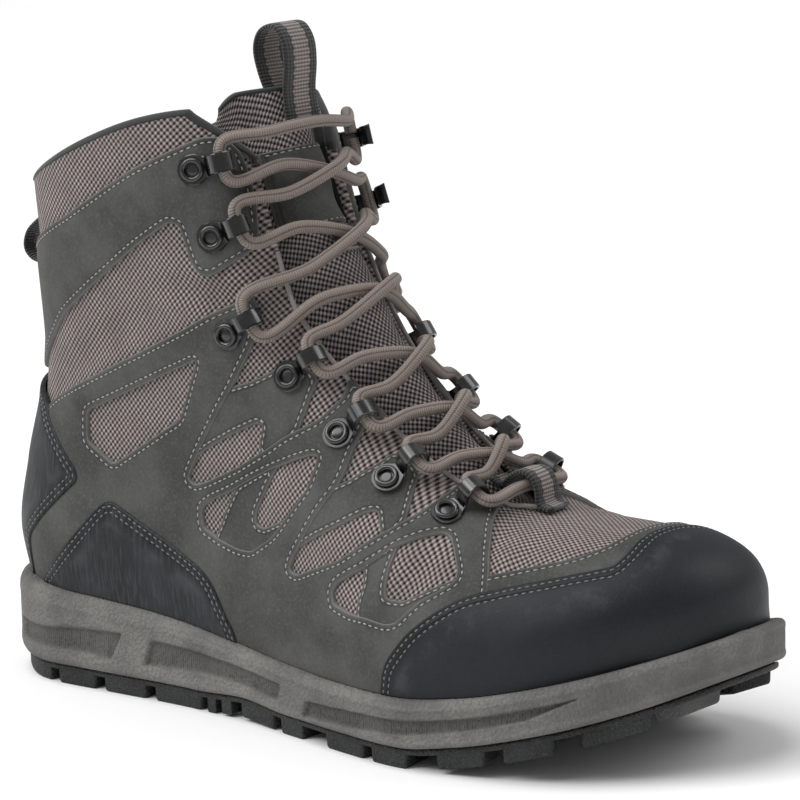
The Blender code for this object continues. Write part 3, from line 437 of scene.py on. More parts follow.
def distance_inside(outline, x, z):
    """Signed distance from a closed outline, positive inside, and the step to its nearest point."""
    best = np.full(x.shape, 1e9)
    near_x, near_z = np.zeros(x.shape), np.zeros(x.shape)
    inside = np.zeros(x.shape, bool)
    for (x0, z0), (x1, z1) in zip(outline, np.roll(outline, -1, axis=0)):
        ux, uz = x1 - x0, z1 - z0
        size = ux * ux + uz * uz
        if size < 1e-9:
            continue
        t = np.clip(((x - x0) * ux + (z - z0) * uz) / size, 0, 1)
        dx, dz = x - x0 - t * ux, z - z0 - t * uz
        gap = dx * dx + dz * dz
        closer = gap < best
        best = np.where(closer, gap, best)
        near_x = np.where(closer, dx, near_x)
        near_z = np.where(closer, dz, near_z)
        if z0 != z1:
            inside ^= ((z0 > z) != (z1 > z)) & (x < x0 + (z - z0) * ux / uz)
    return np.where(inside, 1, -1) * np.sqrt(best), near_x, near_z


def inset_from(outline):
    """Distance in millimetres on the upper's surface from a closed outline, positive inside it."""
    distance, near_x, near_z = distance_inside(outline, NET_X / MM, NET_Z / MM)
    n = NETS[-1].normal
    lean = (near_x * n[..., 0] + near_z * n[..., 2]) / np.maximum(np.abs(distance), 1e-6)
    return distance / np.sqrt(np.clip(1 - lean * lean, 0.2, 1))


def inside_of(outline, radius):
    """The same for an outline whose corners are rounded off first."""
    return inset_from(rounded(outline, radius))


def throat_outline():
    """Closed outline of the throat's opening, reaching out over the top line."""
    rows = np.linspace(THROAT[0].a, 1.03, 60)
    x, z = patch(rows, throat(np.minimum(rows, 1.0)))
    top_x, top_z = patch(rows[::-1], np.zeros(60))
    low = np.stack([x, z], -1) / MM
    high = np.stack([top_x, top_z], -1) / MM + np.array([14.0, 14.0])
    return np.concatenate([low, high])


def cut_net(inset, levels, step=1):
    """Net cells inside an inset field, split along lines of equal inset, as (i, j, inset) points."""
    inset = inset[::step, ::step]
    keep = inset > 0
    corners = keep[:-1, :-1] | keep[1:, :-1] | keep[1:, 1:] | keep[:-1, 1:]
    cells = np.argwhere(corners)
    used = np.full(inset.shape, -1)
    ring = ((0, 0), (1, 0), (1, 1), (0, 1))
    for di, dj in ring:
        used[cells[:, 0] + di, cells[:, 1] + dj] = 0
    spots = np.argwhere(used == 0)
    used[spots[:, 0], spots[:, 1]] = np.arange(len(spots))
    points = np.column_stack([spots * step, inset[spots[:, 0], spots[:, 1]]])
    faces = np.stack([used[cells[:, 0] + di, cells[:, 1] + dj] for di, dj in ring], -1)
    mesh = bpy.data.meshes.new("net")
    mesh.from_pydata(points.tolist(), [], faces.tolist())
    net = bmesh.new()
    net.from_mesh(mesh)
    bpy.data.meshes.remove(mesh)
    for i, level in enumerate(levels):
        everything = net.verts[:] + net.edges[:] + net.faces[:]
        bmesh.ops.bisect_plane(net, geom=everything, dist=1e-4, plane_co=(0, 0, level), plane_no=(0, 0, 1),
                               clear_inner=(i == 0))
    return net


def level_runs(net, level):
    """Chains of points that lie on one line of equal inset, always in the same order."""
    links = {}
    for e in net.edges:
        first, second = e.verts
        if abs(first.co.z - level) < 2e-4 and abs(second.co.z - level) < 2e-4:
            links.setdefault(first, []).append(second)
            links.setdefault(second, []).append(first)
    runs = []
    left = dict.fromkeys(links)
    while left:
        start = next((v for v in left if len(links[v]) == 1), next(iter(left)))
        run = []
        onward = start
        while onward:
            run.append(onward)
            del left[onward]
            onward = next((v for v in links[onward] if v in left), None)
        if start in links[run[-1]] and len(run) > 2:
            run.append(start)
        if len(run) > 3:
            runs.append(np.array([v.co[:] for v in run]))
    return runs


def link(name, data, *materials):
    """New object in the scene."""
    made = bpy.data.objects.new(name, data)
    bpy.context.scene.collection.objects.link(made)
    for material in materials:
        data.materials.append(material)
    return made


def point_attribute(mesh, name, values):
    made = mesh.attributes.new(name, "FLOAT", "POINT")
    made.data.foreach_set("value", np.asarray(values, np.float32))


def net_mesh(net, name):
    """Mesh made from a cut net, and its points as rows of i, j and inset."""
    mesh = bpy.data.meshes.new(name)
    net.to_mesh(mesh)
    net.free()
    spots = np.empty(len(mesh.vertices) * 3)
    mesh.vertices.foreach_get("co", spots)
    return mesh, spots.reshape(-1, 3)


def settle(mesh, places, inset, flat, turned):
    """Moves a net's points to their places, with its face directions, inset and UV map in centimetres."""
    mesh.vertices.foreach_set("co", places.ravel())
    if turned:
        mesh.flip_normals()
    mesh.shade_smooth()
    point_attribute(mesh, "inset", np.clip(inset, 0, 20))
    corners = np.empty(len(mesh.loops), np.int32)
    mesh.loops.foreach_get("vertex_index", corners)
    uv = mesh.uv_layers.new(name="cloth")
    uv.data.foreach_set("uv", np.asarray(flat * 100, np.float32)[corners].ravel())


SEAMS = {}


def above_sole(places):
    return places[:, 2] / MM > edge(places[:, 0]) / MM + 1.2


def sheet(name, side, inset, profile, material, base, stitch, thread="grey", puff=0.0):
    """Layer on one side of the last with a shaped edge; stitch rows run at given insets."""
    net = cut_net(inset, sorted({level.inset for level in profile} | set(stitch)))
    across, out = column(profile, "inset"), column(profile, "out")

    def height(depth):
        return base + np.interp(depth, across, out) * MM + puff * MM * soft_step(depth / 7.0)

    for row in stitch:
        for run in level_runs(net, row):
            places = NETS[side].at(run[:, 0], run[:, 1], height(run[:, 2]) + 0.05 * MM)
            wanted = above_sole(places)
            changes = np.where(np.diff(wanted.astype(int)) != 0)[0] + 1
            parts = np.split(np.arange(len(places)), changes)
            runs = [places[part] for part in parts if wanted[part[0]] and len(part) > 3]
            SEAMS.setdefault((side, thread), []).extend(runs)
    mesh, spots = net_mesh(net, name)
    places = NETS[side].at(spots[:, 0], spots[:, 1], height(spots[:, 2]))
    settle(mesh, places, spots[:, 2], places[:, [0, 2]], side > 0)
    return link(name, mesh, material)


def join(name, parts):
    """One object from several, with doubles along shared edges merged."""
    net = bmesh.new()
    for part in parts:
        net.from_mesh(part.data)
    bmesh.ops.remove_doubles(net, verts=net.verts, dist=0.00002)
    mesh = parts[0].data
    net.to_mesh(mesh)
    net.free()
    for part in parts[1:]:
        bpy.data.objects.remove(part)
    parts[0].name = name
    return parts[0]


def dress(piece, slot, *nodes):
    """The piece rides on the boot and stands for solids of the model."""
    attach(piece, "root")
    if nodes:
        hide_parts(*nodes)
    return piece


# Finishes


def colour(code):
    """Linear colour from an sRGB hex value."""
    parts = [int(code[i:i + 2], 16) / 255 for i in (0, 2, 4)]
    return (*[c / 12.92 if c <= 0.04045 else ((c + 0.055) / 1.055) ** 2.4 for c in parts], 1.0)


Kind = namedtuple("Kind", "type inputs output settings", defaults=(0, {}))
KINDS = {   # inputs in the order of the given values, the output that is used, and fixed settings
    "mix": Kind("ShaderNodeMix", (0, 6, 7), 2, {"data_type": "RGBA"}),
    "range": Kind("ShaderNodeMapRange", (0, 1, 2, 3, 4), 0, {"interpolation_type": "SMOOTHSTEP"}),
    "noise": Kind("ShaderNodeTexNoise", ("Vector", "Scale", "Detail", "Roughness")),
    "cells": Kind("ShaderNodeTexVoronoi", ("Vector", "Scale", "Randomness")),
    "waves": Kind("ShaderNodeTexWave", ("Vector", "Scale", "Distortion", "Detail"), 1,
                  {"wave_type": "BANDS", "bands_direction": "DIAGONAL"}),
    "bump": Kind("ShaderNodeBump", ("Height", "Distance", "Strength", "Normal")),
    "vectors": Kind("ShaderNodeVectorMath", (0, 1)),
    "split": Kind("ShaderNodeSeparateXYZ", (0,)),
    "vector": Kind("ShaderNodeCombineXYZ", (0, 1, 2)),
    "place": Kind("ShaderNodeTexCoord", (), "Object"),
    "scaled": Kind("ShaderNodeMapping", ("Vector", "Scale")),
    "uv": Kind("ShaderNodeUVMap", (), 0, {"uv_map": "cloth"}),
    "attribute": Kind("ShaderNodeAttribute", (), "Fac"),
    "resampled": Kind("GeometryNodeResampleCurve", ("Curve", "Length"), 0, {"mode": "LENGTH"}),
    "ball": Kind("GeometryNodeMeshUVSphere", ("Segments", "Rings", "Radius")),
    "drum": Kind("GeometryNodeMeshCylinder", ("Vertices", "Radius", "Depth")),
    "circle": Kind("GeometryNodeCurvePrimitiveCircle", ("Resolution", "Radius")),
    "swept": Kind("GeometryNodeCurveToMesh", ("Curve", "Profile Curve", "Fill Caps")),
    "moved": Kind("GeometryNodeTransform", ("Geometry", "Translation", "Scale")),
    "joined": Kind("GeometryNodeJoinGeometry", (0, 0, 0)),
    "tangent": Kind("GeometryNodeInputTangent", ()),
    "named": Kind("GeometryNodeInputNamedAttribute", ("Name",), 0, {"data_type": "FLOAT_VECTOR"}),
    "aligned": Kind("FunctionNodeAlignRotationToVector", ("Vector",)),
    "instances": Kind("GeometryNodeInstanceOnPoints", ("Points", "Instance", "Rotation", "Scale")),
    "real": Kind("GeometryNodeRealizeInstances", (0,)),
    "smooth": Kind("GeometryNodeSetShadeSmooth", (0,)),
    "material": Kind("GeometryNodeSetMaterial", ("Geometry", "Material")),
    "result": Kind("NodeGroupOutput", (0,), None),
}


def feed(socket, value):
    """Links a socket to an output, or sets its value; a hex value becomes a colour."""
    if isinstance(value, bpy.types.NodeSocket):
        socket.id_data.links.new(value, socket)
    else:
        socket.default_value = colour(value) if socket.type == "RGBA" else value


def node(tree, kind, *values, take=None, **settings):
    """Adds a node of a listed kind, or else of the maths it names; returns the output that is used."""
    plan = KINDS.get(kind) or Kind("ShaderNodeMath", (0, 1, 2), 0, {"operation": kind})
    made = tree.nodes.new(plan.type)
    for key, value in {**plan.settings, **settings}.items():
        setattr(made, key, value)
    for key, value in zip(plan.inputs, values):
        feed(made.inputs[key], value)
    output = plan.output if take is None else take
    return made if output is None else made.outputs[output]


def finish(name, **values):
    """New material with its shader's constants; returns it, what adds its nodes and its shader's inputs."""
    made = bpy.data.materials.new(name)
    made.use_nodes = True
    shader = made.node_tree.nodes["Principled BSDF"].inputs
    for key, value in values.items():
        feed(shader[key.replace("_", " ")], value)
    return made, partial(node, made.node_tree), shader


MESH_PITCH = 2.15   # millimetres from hole to hole, and from row to row
MESH_ROWS = 2.35
WEBBING_RIBS = 1.3
LACE_RIBS = 0.85
SOLE_RIBS = 1.05


def waves_of(spacing):
    """Factor that gives a UV map in centimetres one wave in a spacing of so many millimetres."""
    return 2 * math.pi * 10 / spacing


def open_mesh(name, flank_shade="6a605e", gape=0.36):
    """Knitted polyester mesh: small dark holes in offset rows between plump pale yarns, with painted shade
    down the yarns' flanks; the holes show the dark lining, deepened by painted shade.

    Its strands are 0.4 mm, and it drifts and mottles over 8 to 9 mm, so that it doesn't look printed.
    """
    made, add, shader = finish(name, Roughness=0.75, Sheen_Weight=0.12, Sheen_Roughness=0.4,
                               Sheen_Tint="cfc6c2", Specular_IOR_Level=0.25)
    uv = add("uv")
    drift = add("vectors", add("noise", uv, 1.3, 2.0, take="Color"), (0.5, 0.5, 0.5), operation="SUBTRACT")
    drift = add("vectors", drift, (0.03, 0.03, 0.0), operation="MULTIPLY")
    place = add("vectors", uv, drift, operation="ADD")
    across = add("COSINE", add("MULTIPLY", add("split", place), waves_of(MESH_PITCH)))
    down = add("COSINE", add("MULTIPLY", add("split", place, take=1), waves_of(MESH_ROWS)))
    lattice = add("MULTIPLY", across, down)
    strands = add("waves", place, 16.0, 2.0, 1.0)
    mottle = add("noise", uv, 1.1, 3.0, 0.55)
    # Painted light and shade: yarns palest on their crowns, with painted shade down their flanks towards the
    # holes
    body = add("mix", add("range", lattice, -0.75, 0.15), "c0b5b1", flank_shade)
    body = add("mix", add("range", strands, 0.2, 0.9, 0.0, 0.35), body, flank_shade)
    body = add("mix", add("range", mottle, 0.35, 0.7, 0.0, 0.3), body, flank_shade)
    # Holes: the dark lining seen through them, darkened further by painted shade
    feed(shader["Base Color"], add("mix", add("range", lattice, gape, gape + 0.3), body, "100e0e"))
    height = add("ADD", add("MULTIPLY_ADD", lattice, -0.5, 0.5), add("MULTIPLY", strands, 0.15))
    feed(shader["Normal"], add("bump", height, 0.9 * MM, 0.9))
    return made


def nubuck(name):
    """Buffed leather: fine short nap and cloudy tone, with a painted highlight along its rounded cut edges
    and painted shade in the groove of its stitches.

    The clouds are 36 mm, the grain is 0.4 mm, and the nap is drawn 1.1 mm coarse to show in the render.
    """
    made, add, shader = finish(name, Roughness=0.75, Sheen_Weight=0.08, Sheen_Roughness=0.5,
                               Sheen_Tint="b9b9b7", Specular_IOR_Level=0.18)
    where = add("place")
    cloud = add("noise", where, 28.0, 4.0, 0.6)
    fine = add("noise", where, 900.0, 3.0, 0.65)
    grain = add("noise", where, 2600.0, 2.0, 0.55)
    inset = add("attribute", attribute_name="inset")
    tone = add("mix", add("range", cloud, 0.36, 0.66), "3a3a39", "4d4d4b")
    tone = add("mix", add("range", fine, 0.45, 0.75, 0.0, 0.35), tone, "656563")
    # Painted highlight where the cut edge rounds over
    tone = add("mix", add("MULTIPLY", add("range", inset, 0.75, 0.2), 0.6), tone, "7b7b78")
    # Painted shade in the groove along the stitch line, some 2 mm in from the edge
    stitch_groove_shade = add("MULTIPLY", add("range", inset, 1.2, 2.0), add("range", inset, 3.0, 2.0))
    feed(shader["Base Color"], add("mix", add("MULTIPLY", stitch_groove_shade, 0.5), tone, "232322"))
    under = add("bump", grain, 0.12 * MM, 0.5)
    nap = add("ADD", fine, add("MULTIPLY", cloud, 0.6))
    feed(shader["Normal"], add("bump", nap, 0.25 * MM, 0.35, under))
    return made


def rubbered(name, base, pale, brushed=False):
    """Leather under a thin rubber film: near black, dull sheen, scuffed paler on its high places.

    Clouds of 45 mm, scuffs of 17 mm, and a grain of 1 mm that brushing draws out upwards.
    """
    made, add, shader = finish(name, Specular_IOR_Level=0.25)
    where = add("place")
    cloud = add("noise", where, 22.0, 5.0, 0.62)
    grain = add("noise", add("scaled", where, (1, 1, 0.06)) if brushed else where, 1000.0, 3.0, 0.55)
    inset = add("attribute", attribute_name="inset")
    tone = add("mix", add("range", cloud, 0.42, 0.72, 0.0, 0.55), base, pale)
    scuff = add("MULTIPLY", add("range", inset, 15.0, 7.0), add("range", inset, 5.0, 8.0))
    patches = add("range", add("noise", where, 60.0, 5.0, 0.7), 0.45, 0.65, 0.0, 0.7)
    tone = add("mix", add("MULTIPLY", scuff, patches), tone, "3c3d40")
    tone = add("mix", add("MULTIPLY", add("range", inset, 5.2, 4.6), 0.75), tone, "0e0f10")
    tone = add("mix", add("range", grain, 0.42, 0.72, 0.0, 0.8 if brushed else 0.3), tone, pale)
    feed(shader["Base Color"], tone)
    feed(shader["Roughness"], add("range", cloud, 0.3, 0.7, 0.44, 0.6))
    feed(shader["Normal"], add("bump", grain, 0.2 * MM, 0.45))
    return made


def thread_finish(name, code):
    """Bonded nylon thread: smooth, tight, faintly glossy."""
    made, add, shader = finish(name, Roughness=0.55)
    tone = add("mix", add("noise", add("place"), 300.0, 3.0, 0.55), code, "3a3a38")
    feed(shader["Base Color"], add("mix", 0.55, tone, code))
    return made


def flecked(name, dark, pale, roughness, sheen, fleck, grain, depth, strength):
    """Plain cloth or cord: matt, in two close tones; fleck and grain are counted in a metre."""
    made, add, shader = finish(name, Roughness=roughness, Sheen_Weight=sheen)
    where = add("place")
    feed(shader["Base Color"], add("mix", add("noise", where, fleck, 3.0, 0.55), dark, pale))
    feed(shader["Normal"], add("bump", add("noise", where, grain, 3.0, 0.55), depth * MM, strength))
    return made


# Both meshes carry painted shade on their yarns' flanks and in their holes
MESH_CLOTH = open_mesh("knitted polyester mesh")
TONGUE_CLOTH = open_mesh("knitted spacer mesh", flank_shade="60575a", gape=0.28)
NUBUCK = nubuck("buffed nubuck leather")
RUBBERED = rubbered("rubber coated leather", "17191d", "26282e")
RUBBERED_HEEL = rubbered("rubber coated leather, brushed", "16171a", "34363a", brushed=True)
THREADS = {
    "grey": thread_finish("bonded nylon thread, grey", "a3a29b"),
    "dark": thread_finish("bonded nylon thread, dark", "6e6f73"),
}


# Upper


THROAT_HOLE = -inset_from(throat_outline())
RIM = np.minimum(THROAT_HOLE, (1.0 - NET_A) * CHORD_LENGTH)


def rolled_under(inset, thickness):
    """How far the face of a pad sinks near its edge, which is rolled under."""
    radius = thickness / 2
    k = 1 - np.clip(inset * MM / radius, 0, 1)
    return radius * (1 - np.sqrt(1 - k * k))


def rim_places(side, spots, inner, raise_by):
    """Points of the shell's outer or inner skin, rolled over at the rim, and those of the last under them."""
    middle = NETS[side].at(spots[:, 0], spots[:, 1], np.zeros(len(spots)))
    thick = wall_at(middle[:, 2])
    sink = rolled_under(spots[:, 2], thick)
    lift = raise_by * MM * soft_step((2.7 - spots[:, 2]) / 0.5)
    out = -thick + sink - lift if inner else -sink + lift
    return NETS[side].at(spots[:, 0], spots[:, 1], out), middle


def rim_layer(side, inner, levels, raise_by, keep=None, step=1):
    """Outer or inner skin of the shell on one side; keep says which faces stay, by level and row."""
    net = cut_net(RIM, levels, step)
    if keep:
        lost = [f for f in net.faces if not keep(f.calc_center_median())]
        bmesh.ops.delete(net, geom=lost, context="FACES")
    mesh, spots = net_mesh(net, "shell")
    places, middle = rim_places(side, spots, inner, raise_by)
    flat = places[:, [0, 2]]
    front = places[:, 0] / MM > 167.0 + 0.82 * (84 - places[:, 2] / MM)
    spine = (middle[:, 1] - centre(middle[:, 0])) * 1.12
    flat[front] = np.column_stack([places[front, 0] + 0.35 * places[front, 2], spine[front]])
    settle(mesh, places, spots[:, 2], flat, (side > 0) != inner)
    return mesh


def upper_shell():
    """Mesh shell with its rolled rims, joined to its lining along the collar and throat."""
    parts = []
    for side, _ in SIDES:
        for inner in (False, True):
            mesh = rim_layer(side, inner, (0.0, 0.12, 0.4, 0.9, 1.6, 2.4, 3.1), 0.0, step=2)
            parts.append(link("shell", mesh, MESH_CLOTH, LINING))
            if inner:
                mesh.polygons.foreach_set("material_index", np.ones(len(mesh.polygons), np.int32))
    dress(join("mesh_upper", parts), "mesh_fabric", "upper")


def collar_binding():
    """Smooth rolled binding over the collar's rim and a little way down the throat."""
    levels = (0.0, 0.12, 0.4, 0.9, 1.4, 1.9, 2.2, 2.4, 2.7)
    first_row = np.interp(0.905, ROWS, np.arange(len(ROWS)))
    for side, word in SIDES:
        parts = []
        for inner in (False, True):
            mesh = rim_layer(side, inner, levels, 0.5, lambda at: at.z <= levels[-1] and at.x >= first_row)
            parts.append(link("binding", mesh, BINDING))
        dress(join(f"collar_binding_roll_{word}", parts), "lining", f"collar_binding_{word}")


# Knitted lining, dark and matt; rolled binding, smoother to the eye
LINING = flecked("dark knitted lining", "161617", "252526", 0.85, 0.2, 600.0, 1500.0, 0.3, 0.5)
BINDING = flecked("smooth dark binding", "17181a", "232426", 0.85, 0.2, 600.0, 1500.0, 0.3, 0.5)
upper_shell()
collar_binding()

SHAFT_PANEL = [
    (-49.0, 148.0), (-11, 167), (4, 174), (22, 184), (38, 193), (51, 199), (62, 204.5), (68, 204.5),
    (72.5, 199.5), (75.5, 192), (78.5, 182), (81, 171), (80, 165), (69, 157), (64, 157), (60, 162.5),
    (56, 174), (52.5, 175), (35, 164), (18, 152), (-3, 137), (-15, 124), (-26, 113), (-49, 104),
]
LOWER_PANEL = [
    (-55, 88), (-30, 94), (-11, 106), (6, 114), (23, 122), (40, 130), (57, 138), (70, 145), (80, 149.5),
    (90, 158), (186, 108), (172.5, 84.5), (181, 76), (188.5, 66.6), (192, 60.5), (186, 46), (178, 8),
    (-58, 8),
]
WINDOWS = [
    [(7, 103), (61, 127), (52, 105), (19, 85), (7, 92)],
    [(79, 156), (82.5, 149.5), (84.3, 145), (84.6, 140), (83.5, 133), (76, 118), (66, 103), (61, 95),
     (57, 88), (55, 84), (58, 82), (64, 84), (79, 91), (91, 98), (98, 103), (111, 110), (116, 117),
     (112, 136), (96, 160)],
    [(126, 110), (126, 94), (125, 89), (119, 80), (113, 70), (109, 64), (107, 59), (111, 58), (131, 66),
     (146, 76), (156, 83), (159, 89), (146, 106)],
    [(61, 74), (65, 77), (76, 82), (85, 87), (95, 92), (105, 96), (111, 98), (114, 98), (114, 95), (112, 87),
     (105, 78), (99, 71), (94, 67), (86, 62), (79, 62), (70, 64), (62, 67), (61, 70)],
    [(131, 56), (133, 59), (143, 65), (154, 73), (161, 76), (166, 77), (169, 76), (173, 72), (177, 67),
     (178, 64), (174, 61), (169, 58), (161, 50), (157, 49), (149, 50), (141, 50), (132, 52)],
]
INSETS = [  # plain leather pieces that lie deeper, under the straps
    [(19, 83), (52, 106), (60, 104), (42, 72), (30, 76)],
    [(73, 118), (83, 121), (91, 125), (94, 128), (102, 127), (107, 123), (106, 113), (104, 105),
     (98, 99), (90, 94), (88, 99), (89, 106), (87, 107), (76, 102), (65, 96), (57, 91), (58, 98), (64, 110)],
    [(122, 89), (127, 91), (135, 97), (137, 100), (143, 97), (148, 93), (151, 86), (153, 80), (148, 73),
     (145, 78), (142, 83), (138, 82), (129, 77), (119, 72), (109, 66), (110, 73), (117, 82)],
    [(78, 84), (98, 95), (92, 83), (88, 76), (88, 72), (92, 71), (101, 75), (107, 79), (103, 69), (95, 63),
     (86, 58), (78, 58), (66, 62), (72, 74)],
    [(142, 67), (154, 75), (154, 65), (155, 59), (156, 57), (162, 57), (168, 60), (180, 66), (181, 60),
     (170, 53), (166, 48), (160, 45), (144, 46), (143, 53), (144, 59)],
]
HEEL_PANEL = [(-24, 8), (-20, 38), (14, 70.5), (19, 71.5), (61, 53), (67, 48), (77, 31), (80, 8)]
HEEL_PATCH = [(-60, 122), (-20, 103), (1.5, 81), (2, 77), (-13, 64), (-26, 52), (-33, 8), (-60, 8)]
TOE_CAP = [
    (150, 8), (156, 35), (166, 47), (173, 53), (182, 59), (196, 63), (213, 67), (226, 70), (227, 73),
    (225, 77), (223, 92), (280, 92), (280, 8),
]
TOE_BAND = [
    (146, 24), (152, 36), (163, 50), (171, 56), (176, 62.5), (196, 68), (213, 72), (221, 76), (216, 92),
    (290, 90), (290, 8), (150, 8),
]

LEATHER_EDGE = rows_of("inset out", [
    (0.0, -0.35), (0.06, 0.55), (0.3, 1.12), (0.8, 1.3), (1.5, 1.3), (2.0, 1.08),
    (2.6, 1.3),
])
DOUBLE_EDGE = rows_of("inset out", [
    (0.0, -0.3), (0.08, 0.8), (0.4, 1.45), (1.0, 1.65), (1.7, 1.4), (2.4, 1.7),
    (3.1, 1.7), (3.8, 1.4), (4.5, 1.65),
])
PLAIN_EDGE = rows_of("inset out", [(0.0, -0.3), (0.08, 0.5), (0.3, 0.9), (0.8, 1.05)])


def build_panels():
    """Leather and rubbered layers of both sides, each over the one before."""
    windows = [-inside_of(window, 2.0) for window in WINDOWS]
    lower = np.min([inside_of(LOWER_PANEL, 2.5), THROAT_HOLE, *windows], axis=0)
    shaft = np.minimum(inside_of(SHAFT_PANEL, 3.0), THROAT_HOLE)
    deeper = np.max([inside_of(piece, 1.5) for piece in INSETS], axis=0)
    soft = LEATHER_EDGE, NUBUCK, GAP, (2.0,), "grey"
    hard = DOUBLE_EDGE, RUBBERED_HEEL, GAP + 0.7 * MM, (1.7, 3.8), "dark"
    heel, back = inside_of(HEEL_PANEL, 3.0), inside_of(HEEL_PATCH, 3.0)
    for side, word in SIDES:
        dress(sheet(f"inset_leather_{word}", side, deeper, PLAIN_EDGE, NUBUCK, 0.0, (1.6,)), "nubuck")
        dress(sheet(f"side_leather_{word}", side, lower, *soft, 0.3), "nubuck", f"side_panel_{word}")
        dress(sheet(f"shaft_leather_{word}", side, shaft, *soft, 0.4), "nubuck", f"shaft_panel_{word}")
        for name, inset, solid in (("side", heel, "heel_panel"), ("back", back, "heel_patch")):
            made = sheet(f"heel_{name}_rubbered_{word}", side, inset, *hard)
            dress(made, "rubbered_leather", f"{solid}_{word}")


build_panels()


def build_toe():
    """Leather band round the toe and the rubbered cap over it, each joined down the middle."""
    cap = inside_of(TOE_CAP, 5.0)
    band = np.minimum(inside_of(TOE_BAND, 5.0), THROAT_HOLE)
    bands, caps = [], []
    for side, word in SIDES:
        bands.append(sheet(f"toe_band_{word}", side, band, LEATHER_EDGE, NUBUCK, 0.1 * MM, (2.0,)))
        caps.append(sheet(f"toe_cap_{word}", side, cap, DOUBLE_EDGE, RUBBERED, GAP + 0.3 * MM, (1.7, 3.8),
                          "dark"))
    dress(join("toe_band", bands), "nubuck")
    dress(join("toe_cap_rubbered", caps), "rubbered_leather", "toe_cap")


build_toe()


# Stitching


def new_tree(name, source, sizes, material):
    """Empty Geometry Nodes tree with named inputs; returns it, what adds its nodes, and those inputs."""
    tree = bpy.data.node_groups.new(name, "GeometryNodeTree")
    for title, kind in {source: "Geometry", **dict.fromkeys(sizes, "Float"), material: "Material"}.items():
        made = tree.interface.new_socket(title, in_out="INPUT", socket_type=f"NodeSocket{kind}")
        if title in sizes:
            made.default_value = sizes[title]
    tree.interface.new_socket("Shape", in_out="OUTPUT", socket_type="NodeSocketGeometry")
    return tree, partial(node, tree), tree.nodes.new("NodeGroupInput").outputs


def close_tree(tree, add, shape, material):
    """Ends a tree with real copies, smooth shading and its material."""
    add("result", add("material", add("smooth", add("real", shape)), material))
    return tree


def stitch_tree():
    """Geometry Nodes: short thread stitches set along seam lines."""
    sizes = {"Pitch": 2.6 * MM, "Length": 1.9 * MM, "Thickness": 0.62 * MM}
    tree, add, given = new_tree("stitches", "Seams", sizes, "Thread")
    spaced = add("resampled", given["Seams"], given["Pitch"])
    turn = add("aligned", add("tangent"), axis="X")
    size = add("vector", given["Length"], given["Thickness"], given["Thickness"])
    stitches = add("instances", spaced, add("ball", 6, 4, 0.5), turn, size)
    return close_tree(tree, add, stitches, given["Thread"])


def curve_of(name, runs):
    made = bpy.data.curves.new(name, "CURVE")
    made.dimensions = "3D"
    for run in runs:
        spline = made.splines.new("POLY")
        spline.points.add(len(run) - 1)
        spline.points.foreach_set("co", np.column_stack([run, np.ones(len(run))]).ravel())
    return link(name, made)


def grown(name, source, tree, **values):
    """Plain mesh from a Geometry Nodes tree run on a source object."""
    modifier = source.modifiers.new("grow", "NODES")
    modifier.node_group = tree
    for item in tree.interface.items_tree:
        if item.in_out == "INPUT" and item.name in values:
            modifier[item.identifier] = values[item.name]
    graph = bpy.context.evaluated_depsgraph_get()
    mesh = bpy.data.meshes.new_from_object(source.evaluated_get(graph), depsgraph=graph)
    bpy.data.objects.remove(source)
    mesh.name = name
    return link(name, mesh)


def build_stitches():
    tree = stitch_tree()
    for (side, thread), runs in SEAMS.items():
        word = dict(SIDES).get(side, "middle")
        name = f"stitches_{thread}_{word}"
        made = grown(name, curve_of("seams", runs), tree, Thread=THREADS[thread])
        dress(made, "nubuck" if thread == "grey" else "rubbered_leather")


# Surfaces from rows of points


def surface(name, points, material, uv=None, closed=False, flip=False, sharp=None):
    """Mesh over a grid of points; closed joins its last column to its first and fills its end rows."""
    rows, cols = points.shape[:2]
    if uv is None:
        uv = np.zeros((rows, cols + 1, 2))
    i, j = np.meshgrid(np.arange(rows - 1), np.arange(cols if closed else cols - 1), indexing="ij")
    i, j = i.ravel(), j.ravel()
    k = (j + 1) % cols
    corners = np.stack([i * cols + j, (i + 1) * cols + j, (i + 1) * cols + k, i * cols + k], -1)
    flat = np.stack([uv[i, j], uv[i + 1, j], uv[i + 1, j + 1], uv[i, j + 1]], 1)
    faces = corners.tolist()
    laid = flat.reshape(-1, 2).tolist()
    if closed:
        for row, order in ((0, range(cols)), (rows - 1, range(cols - 1, -1, -1))):
            faces.append([row * cols + n for n in order])
            laid += [uv[row, n].tolist() for n in order]
    mesh = bpy.data.meshes.new(name)
    mesh.from_pydata(points.reshape(-1, 3).tolist(), [], faces)
    mesh.uv_layers.new(name="cloth").data.foreach_set("uv", np.array(laid, np.float32).ravel())
    if flip:
        mesh.flip_normals()
    mesh.shade_smooth()
    if sharp:
        mesh.set_sharp_from_angle(angle=math.radians(sharp))
    return link(name, mesh, material)


def face_out(piece):
    """Turns a closed piece's faces outwards."""
    net = bmesh.new()
    net.from_mesh(piece.data)
    bmesh.ops.remove_doubles(net, verts=net.verts, dist=0.00001)
    bmesh.ops.recalc_face_normals(net, faces=net.faces)
    net.to_mesh(piece.data)
    net.free()
    return piece


